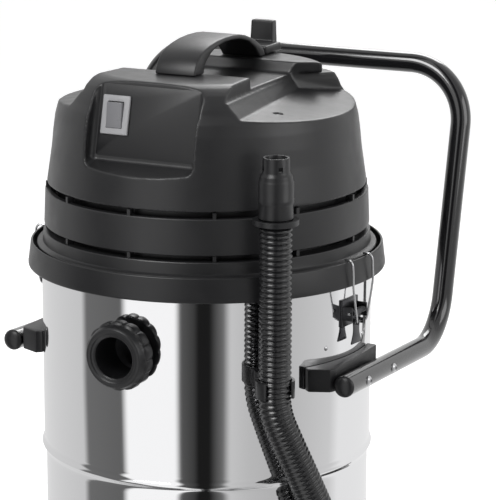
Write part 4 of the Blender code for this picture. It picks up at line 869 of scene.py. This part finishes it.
# ---- latches
def build_latches():
    base = block("latch_base_fine_right", (TANK_R - 0.004, -0.02, LATCH_Z - 0.02),
            (TANK_R + 0.0022, 0.02, LATCH_Z + 0.016), 0.0006, 2)
    for side in (-1.0, 1.0):
        low = min(side * 0.017, side * 0.0195)
        ear = block("ear", (TANK_R + 0.001, low, LATCH_Z - 0.01), (LATCH_X + 0.0035, low + 0.0025,
                LATCH_Z + 0.008), 0.0006, 2)
        join(base, ear)
    cut(base, bar("pin_hole", (LATCH_X, -0.03, LATCH_Z), (LATCH_X, 0.03, LATCH_Z), 0.0023, 32))
    cut(base, bar("drum_cut", (0, 0, BEAD_Z), (0, 0, RIM_Z), TANK_R + GAP, 240))
    pin = bar("latch_pin_fine_right", (LATCH_X, -0.0215, LATCH_Z), (LATCH_X, 0.0215, LATCH_Z), 0.002, 32)
    bail_x = LATCH_X + 0.0025
    bail_z = LATCH_Z - 0.013
    blade = [
        (-0.0125, 0.0), (0.0125, 0.0), (0.011, -0.006), (0.0082, -0.014), (0.0072, -0.02), (0.007, -0.025),
        (0.0078, -0.03), (0.01, -0.036), (0.0125, -0.0415), (0.012, -0.043), (-0.012, -0.043),
        (-0.0125, -0.0415), (-0.01, -0.036), (-0.0078, -0.03), (-0.007, -0.025), (-0.0072, -0.02),
        (-0.0082, -0.014), (-0.011, -0.006)
    ]
    lever = hull("latch_lever_fine_right", blade, -0.0008, 0.0008, 0.0003, 2,
            at(LATCH_X - 0.0016, 0.0, LATCH_Z) @ UPRIGHT)
    join(lever, bar("barrel", (LATCH_X, -0.0145, LATCH_Z), (LATCH_X, 0.0145, LATCH_Z), 0.0042, 48))
    for side in (-1.0, 1.0):
        low = min(side * 0.0045, side * 0.007)
        join(lever, block("lug", (LATCH_X - 0.0018, low, bail_z - 0.0036),
                (bail_x + 0.0036, low + 0.0025, bail_z + 0.0036), 0.0005, 2))
    cut(lever, bar("pivot_bore", (LATCH_X, -0.03, LATCH_Z), (LATCH_X, 0.03, LATCH_Z), 0.0024, 32))
    cut(lever, bar("bail_bore", (bail_x, -0.03, bail_z), (bail_x, 0.03, bail_z), 0.0019, 24))
    lip = RING_Z + RING_H
    wall = RING_R + 0.003
    wire = [
        (bail_x, 0.009, bail_z), (bail_x + 0.004, 0.012, bail_z + 0.002),
        (wall - 0.0006, 0.0165, LATCH_Z + 0.004), (wall, 0.0245, RING_Z - 0.002),
        (wall - 0.0004, 0.025, RING_Z + 0.016), (wall - 0.0014, 0.025, lip - 0.0035),
        (wall - 0.0042, 0.0245, lip + 0.0012), (wall - 0.0075, 0.024, lip + 0.0024),
        (RING_R - 0.011, 0.0235, lip + 0.0022)
    ]
    front = [Vector((x, -y, z)) for x, y, z in reversed(wire)]
    run = front + [Vector(p) for p in wire]
    fine, _ = smooth_path(run, 0.0012)
    bail = pipe("latch_bail_fine_right", fine, 0.0015, 16)
    for piece, node_name, body, slot in ((base, "latch_base", "tank", "dark_steel"),
            (pin, "latch_pin", "tank", "plated_steel"),
                                         (lever, "latch_lever", "latch_lever_", "dark_steel"),
                                         (bail, "latch_bail", "latch_bail_", "plated_steel")):
        piece.data.transform(spin(LATCH_AZ))
        smooth(piece, 35)
        twin = mirrored(piece, piece.name.replace("right", "left"))
        for made, word in ((piece, "right"), (twin, "left")):
            show(made, body + word if body.endswith("_") else body, slot, node_name + "_" + word)


# ---- motor head
def ribs(obj, radius, low, high):
    for i in range(12):
        rib = block("rib", (radius - 0.005, -0.00225, low), (radius + 0.005, 0.00225, high))
        rib.data.transform(Matrix.Rotation(ROUND * i / 12.0, 4, "Z"))
        join(obj, rib)


def build_head_rings():
    lip = RING_Z + 0.0482
    band_low = lip + 0.0077
    band_top = RING_Z + 0.1028
    base = shifted(0.0, lip, [(0.2152, 0.0), (0.2164, -0.0004), (0.2171, -0.0014)])
    base += shifted(0.0, BASE_Z, [(0.2178, 0.0105), (0.2186, 0.0068), (0.221, 0.0052), (0.2252, 0.0045),
            (0.226, 0.0036), (0.226, 0.0006), (0.2254, 0.0), (0.052, 0.0), (0.052, 0.005),
            (0.2, 0.005)]) + [(0.2, lip)]
    piece = lathe("head_base_fine", base, 240)
    ribs(piece, BAND_R - 0.0072, lip - 0.003, band_low - 0.0003)
    show(smooth(piece, 30), "head", "head_plastic", "head_base")
    inner = COVER_R - 0.005
    band = shifted(BAND_R, band_top, [(-0.0042, 0.0), (-0.003, -0.0004), (-0.002, -0.0016)])
    band += shifted(BAND_R, band_low, [(-0.0002, 0.003), (-0.0004, 0.001), (-0.0014, 0.0)]) + [(inner,
            band_low), (inner, band_top)]
    piece = lathe("vent_band_fine", band, 240)
    ribs(piece, BAND_R - 0.008, band_top - 0.003, COVER_Z - 0.0003)
    show(smooth(piece, 30), "head", "head_plastic", "vent_band")
    wall = 0.197
    low = BASE_Z + 0.0053
    fan = [
        (wall, COVER_Z + 0.01), (wall, low + 0.001), (wall - 0.001, low), (0.056, low), (0.056, low + 0.004),
        (wall - 0.005, low + 0.004), (wall - 0.004, low + 0.005), (wall - 0.004, COVER_Z + 0.01)
    ]
    show(smooth(lathe("fan_housing_fine", fan, 160), 30), "head", "black_plastic", "fan_housing")
    low += 0.0043
    motor = shifted(0.0, low, [
        (0.0, 0.15), (0.008, 0.15), (0.009, 0.147), (0.02, 0.147), (0.022, 0.145), (0.026, 0.135),
        (0.05, 0.128), (0.056, 0.124), (0.0575, 0.118), (0.0575, 0.108), (0.056, 0.107), (0.056, 0.104),
        (0.0585, 0.102), (0.06, 0.062), (0.064, 0.054), (0.075, 0.051), (0.078, 0.048), (0.078, 0.012),
        (0.0765, 0.011), (0.0765, 0.008), (0.078, 0.007), (0.078, 0.0), (0.0, 0.0)
    ])
    show(smooth(lathe("motor_fine", motor, 128, closed=False), 30), "head", "motor_metal", "motor")


def on_cover(points, side=1.0):
    return [(side * x * COVER_R, y * COVER_R) for x, y in points]


def deck_height(x):
    return RING_Z + 0.226 - 0.115 * (abs(x) - 0.439 * COVER_R)


def panel_frame(x, z):
    """A frame on the switch panel: local -Y points out of the panel, local Z runs up it."""
    y = PANEL_FOOT_Y + (z - PANEL_FOOT) * tan(PANEL_TILT)
    return at(x, y, RING_Z + z) @ Matrix.Rotation(-PANEL_TILT, 4, "X")


def switch_hole(name):
    hole = block(name, (-0.0142, -0.02, -0.0197), (0.0142, 0.03, 0.0197))
    hole.data.transform(panel_frame(SWITCH_X, SWITCH_Z))
    return hole


def build_cover():
    edge = [
        (0.0638, 0.0), (0.0568, 0.0012), (0.0498, 0.0035), (0.0438, 0.0068), (0.0378, 0.011),
        (0.0335, 0.0158), (0.0298, 0.021), (0.0265, 0.0272), (0.0238, 0.034)
    ]
    profile = [(0.0, TOP)] + [(COVER_R - inward, TOP - drop) for inward, drop in edge]
    profile += [
        (COVER_R - 0.0168, RING_Z + 0.218), (COVER_R - 0.0123, RING_Z + 0.202),
        (COVER_R - 0.0095, RING_Z + 0.182), (COVER_R - 0.0073, RING_Z + 0.16), (COVER_R, COVER_Z),
        (0.0, COVER_Z)
    ]
    cover = lathe("head_cover_fine", profile, 240, closed=False)
    mid = RING_Z + 0.24
    for side in (-1.0, 1.0):
        low = on_cover(((0.604, -0.9), (0.51, -0.137), (0.444, 0.397), (0.689, 0.689),
                (1.23, 0.567), (1.23, -0.9)), side)
        foot = on_cover(((0.524, -0.9), (0.444, -0.137), (0.406, 0.373), (0.666, 0.666),
                (1.23, 0.543), (1.23, -0.9)), side)
        high = on_cover(((0.5, -0.9), (0.425, -0.137), (0.397, 0.359), (0.656, 0.656),
                (1.23, 0.534), (1.23, -0.9)), side)
        above = on_cover(((0.5, -0.9), (0.425, -0.137), (0.397, 0.378), (0.552, 0.467),
                (1.23, 0.467), (1.23, -0.9)), side)
        cut(cover, loft("wedge", [[(x, y, deck_height(x)) for x, y in low], [(x, y, mid) for x, y in foot],
                                  [(x, y, STEP + 0.002) for x, y in high]]))
        cut(cover, hull("above", above, mid + 0.002, TOP + 0.03))
    wide = 1.23 * COVER_R
    start = 0.463 * COVER_R
    rear = arc((0.0, 0.0), REAR_RIM_R, 38, 142, 48) + [
        (-wide, start), (-wide, wide), (wide, wide), (wide, start)
    ]
    cut(cover, hull("rear_step", rear, STEP, STEP + 0.05))
    well = [(-0.056, TOP - 0.015), (0.078, TOP - 0.015), (0.088, TOP + 0.01), (-0.062, TOP + 0.01)]
    side_x = 0.6 * COVER_R
    cut(cover, loft("finger_well", [[(x, y, z) for y, z in well] for x in (-side_x, side_x)]))
    top = TOP + 0.01
    foot_z = RING_Z + PANEL_FOOT
    top_y = PANEL_TOP_Y + 0.01 * tan(PANEL_TILT)
    outline = [
        (PANEL_FOOT_Y, foot_z), (PANEL_FOOT_Y - 0.033, foot_z - 0.011), (-wide, foot_z - 0.011),
        (-wide, top), (top_y, top)
    ]
    pocket = loft("pocket", [[(x, y, z) for y, z in outline] for x in (-PANEL_HALF, PANEL_HALF)])
    cut(cover, rounded(pocket, 0.008, 5, 60.0))
    wall_x = PANEL_HALF + 0.007
    wall_y = PANEL_TOP_Y + 0.007
    roof = RING_Z + 0.208
    shell = [
        (0.0, roof), (COVER_R - 0.0258, roof), (COVER_R - 0.0123, RING_Z + 0.16),
        (COVER_R - 0.004, COVER_Z - 0.01), (0.0, COVER_Z - 0.01)
    ]
    cavity = lathe("cavity", shell, 160, closed=False)
    cut(cavity, block("panel_wall", (-wall_x, -wide, foot_z - 0.02), (wall_x, wall_y - 0.023, roof + 0.01)))
    slant = [(-wide, foot_z - 0.02), (PANEL_FOOT_Y + 0.007, foot_z - 0.02), (wall_y, TOP), (-wide, TOP)]
    cut(cavity, loft("lean_wall", [[(x, y, z) for y, z in slant] for x in (-wall_x, wall_x)]))
    cut(cover, cavity)
    moulded(cover, 0.0016, 5)
    cut(cover, switch_hole("switch_hole"))
    head = [
        (0.0, -0.0026), (0.0007, -0.0026), (0.0042, -0.0014), (0.005, -0.0016), (0.0055, -0.0022),
        (0.0055, -0.0031), (0.0, -0.0031)
    ]
    for side, word in ((-1.0, "left"), (1.0, "right")):
        for end, (x, y) in (("front", on_cover(((0.652, -0.3305),), side)[0]),
                ("rear", on_cover(((0.472, 0.68),), side)[0])):
            z = deck_height(x) if end == "front" else STEP
            cut(cover, bar("screw_well", (x, y, z - 0.0034), (x, y, z + 0.01), 0.0068, 40))
            screw = lathe("cover_screw_fine_%s_%s" % (end, word), head, 40, at(x, y, z), closed=False)
            show(smooth(screw, 30), "head", "dark_steel", "cover_screw_%s_%s" % (end, word))
    cut(cover, bar("gland_hole", (0, 0.18, GLAND_Z), (0, 0.24, GLAND_Z), 0.0085, 40))
    show(cover, "head", "head_plastic", "head_cover")


def build_gland():
    shape = [
        (0.0058, 0.232), (0.0066, 0.2316), (0.0072, 0.23), (0.01, 0.22), (0.0118, 0.215), (0.0125, 0.2135),
        (0.0125, 0.21), (0.012, 0.2095), (0.008, 0.2095), (0.008, 0.196), (0.004, 0.196), (0.004, 0.2316),
        (0.0046, 0.232)
    ]
    place = at(0.0, 0.0, GLAND_Z) @ Matrix.Rotation(-pi / 2.0, 4, "X")
    show(smooth(lathe("cable_gland_fine", shape, 64, place), 30), "head", "black_plastic", "cable_gland")


def build_panel_plate():
    """A thin dark plate on the switch panel."""
    middle = (PANEL_FOOT + COVER_TOP) / 2.0
    tall = (COVER_TOP - PANEL_FOOT) / 2.0 / cos(PANEL_TILT) - 0.006
    half = PANEL_HALF - 0.004
    sheet = arc((half - 0.006, tall - 0.006), 0.006, 0, 90, 6) + arc((-half + 0.006,
            tall - 0.006), 0.006, 90, 180, 6)
    sheet += arc((-half + 0.006, -tall + 0.006), 0.006, 180, 270, 6) + arc((half - 0.006,
            -tall + 0.006), 0.006, 270, 360, 6)
    place = panel_frame(0.0, middle) @ TO_FRONT
    face = hull("panel_plate", sheet, -0.001, 0.0004, 0.0002, 2, place)
    cut(face, switch_hole("plate_hole"))
    show(smooth(face, 30), "head", "black_plastic")


def build_switch():
    place = panel_frame(SWITCH_X, SWITCH_Z)
    bezel = block("switch_bezel_fine", (-0.0195, -0.0045, -0.025), (0.0195, -0.0003, 0.025), 0.0015, 4)
    join(bezel, block("sleeve", (-0.0138, -0.001, -0.0193), (0.0138, 0.012, 0.0193)))
    cut(bezel, block("window", (-0.0116, -0.02, -0.0172), (0.0116, 0.03, 0.0172), 0.0008, 3))
    bezel.data.transform(place)
    show(smooth(bezel, 30), "head", "switch_grey", "switch_bezel")
    rocker = block("switch_rocker_fine", (-0.011, -0.006, -0.0164), (0.011, -0.001, 0.0164), 0.001, 4)
    rocker.data.transform(place @ at(0, -0.0015, 0) @ Matrix.Rotation(radians(7.0), 4, "X"))
    show(rocker, "rocker", "switch_dark", "switch_rocker")


def build_fittings():
    seat = TOP + GAP
    outer = [
        (-0.102, 0.0003), (-0.0995, 0.008), (-0.0945, 0.017), (-0.084, 0.0258), (-0.072, 0.0312),
        (-0.058, 0.035), (-0.036, 0.0385), (-0.014, 0.04), (0.01, 0.04), (0.028, 0.0385), (0.044, 0.0355),
        (0.058, 0.031), (0.074, 0.025), (0.086, 0.018), (0.095, 0.0125), (0.1, 0.008), (0.104, 0.0003)
    ]
    inner = [
        (0.088, 0.0003), (0.0845, 0.004), (0.08, 0.008), (0.074, 0.014), (0.066, 0.019), (0.056, 0.0245),
        (0.046, 0.028), (0.028, 0.032), (0.01, 0.0335), (-0.014, 0.0335), (-0.03, 0.0318), (-0.046, 0.028),
        (-0.056, 0.0235), (-0.064, 0.018), (-0.07, 0.0135), (-0.073, 0.008), (-0.0755, 0.0003)
    ]
    grip = hull("carry_handle_fine", [(y + 0.012, TOP + z) for y, z in outer + inner], -GRIP_HALF,
                GRIP_HALF, 0.0, 3, UPRIGHT)
    rounded(grip, 0.0022, 4, 50.0)
    show(grip, "head", "head_plastic", "carry_handle")
    pad_y = 0.1175
    tab_y = REAR_RIM_R + 0.0013
    hook = block("cord_hook_fine", (-GRIP_HALF, pad_y, seat), (GRIP_HALF,
            tab_y + 0.008, seat + 0.012), 0.003, 4)
    foot = [(-0.018, tab_y), (0.018, tab_y), (0.018, tab_y + 0.018), (-0.018, tab_y + 0.018)]
    head = [
        (-0.0165, tab_y + 0.004), (0.0165, tab_y + 0.004), (0.0165, tab_y + 0.017), (-0.0165, tab_y + 0.017)
    ]
    tab = loft("tab", [[(x, y, STEP + 0.0003) for x, y in foot], [(x, y, TOP + 0.0405) for x, y in head]])
    join(hook, rounded(tab, 0.002, 4, 50.0))
    moulded(hook, 0.001, 5)
    show(hook, "head", "head_plastic", "cord_hook")


def build_filter():
    top = BASE_Z - GAP
    cage = shifted(0.0, top, [
        (0.06, 0.0), (0.06, -0.004), (0.0475, -0.004), (0.046, -0.0055), (0.046, -0.108), (0.044, -0.11),
        (0.012, -0.11), (0.012, -0.107), (0.043, -0.107), (0.043, 0.0)
    ])
    body = lathe("float_cage_fine", cage, 96)
    for i in range(6):
        slit = block("slit", (0.035, -0.009, top - 0.09), (0.055, 0.009, top - 0.03), 0.003, 4)
        slit.data.transform(Matrix.Rotation(ROUND * i / 6.0, 4, "Z"))
        cut(body, slit)
    show(smooth(body, 30), "head", "white_plastic", "float_cage")
    ball = [(0.03 * sin(pi * i / 24.0), 0.03 * cos(pi * i / 24.0)) for i in range(25)]
    centre = at(0.0, 0.0, top - 0.107 + 0.0303)
    show(smooth(lathe("float_ball_fine", ball, 48, centre, closed=False), 60), "float",
         "float_orange", "float_ball")

    def folds(turn, r, z):
        if z > top - 0.008 or r < 0.05:
            return r
        depth = min(1.0, (top - 0.008 - z) / 0.03)
        pleat = 0.0012 * depth * (0.5 + 0.5 * cos(24.0 * turn))
        sag = 0.0006 * depth * (0.5 + 0.5 * cos(7.0 * turn + 1.0))
        return r - pleat - sag
    bag = shifted(0.0, top, [(0.0, -0.138), (0.098, -0.138), (0.104, -0.135)])
    bag += [(0.104 + 0.018 * t, top - 0.135 + 0.135 * t) for t in np.linspace(0.08, 0.95, 14)]
    bag += shifted(0.0, top, [
        (0.122, 0.0), (0.15, 0.0), (0.1512, -0.002), (0.15, -0.004), (0.13, -0.004), (0.128, -0.0055)
    ])
    bag += [(0.128 - 0.02 * t, top - 0.006 - 0.131 * t) for t in np.linspace(0.03, 0.97, 16)]
    bag += shifted(0.0, top, [(0.107, -0.1405), (0.104, -0.142), (0.0, -0.142)])
    bowl = lathe("filter_fine", bag, 192, closed=False, shape=folds)
    show(smooth(bowl, 60), "head", "filter_cloth", "filter")


build_camera()
build_studio()
build_tank()
build_ring()
build_rivets()
build_inlet()
build_hose()
build_hose_mounts()
build_outlet()
build_trolley()
build_wheels()
build_casters()
build_handle()
build_latches()
build_head_rings()
build_cover()
build_gland()
build_panel_plate()
build_switch()
build_fittings()
build_filter()
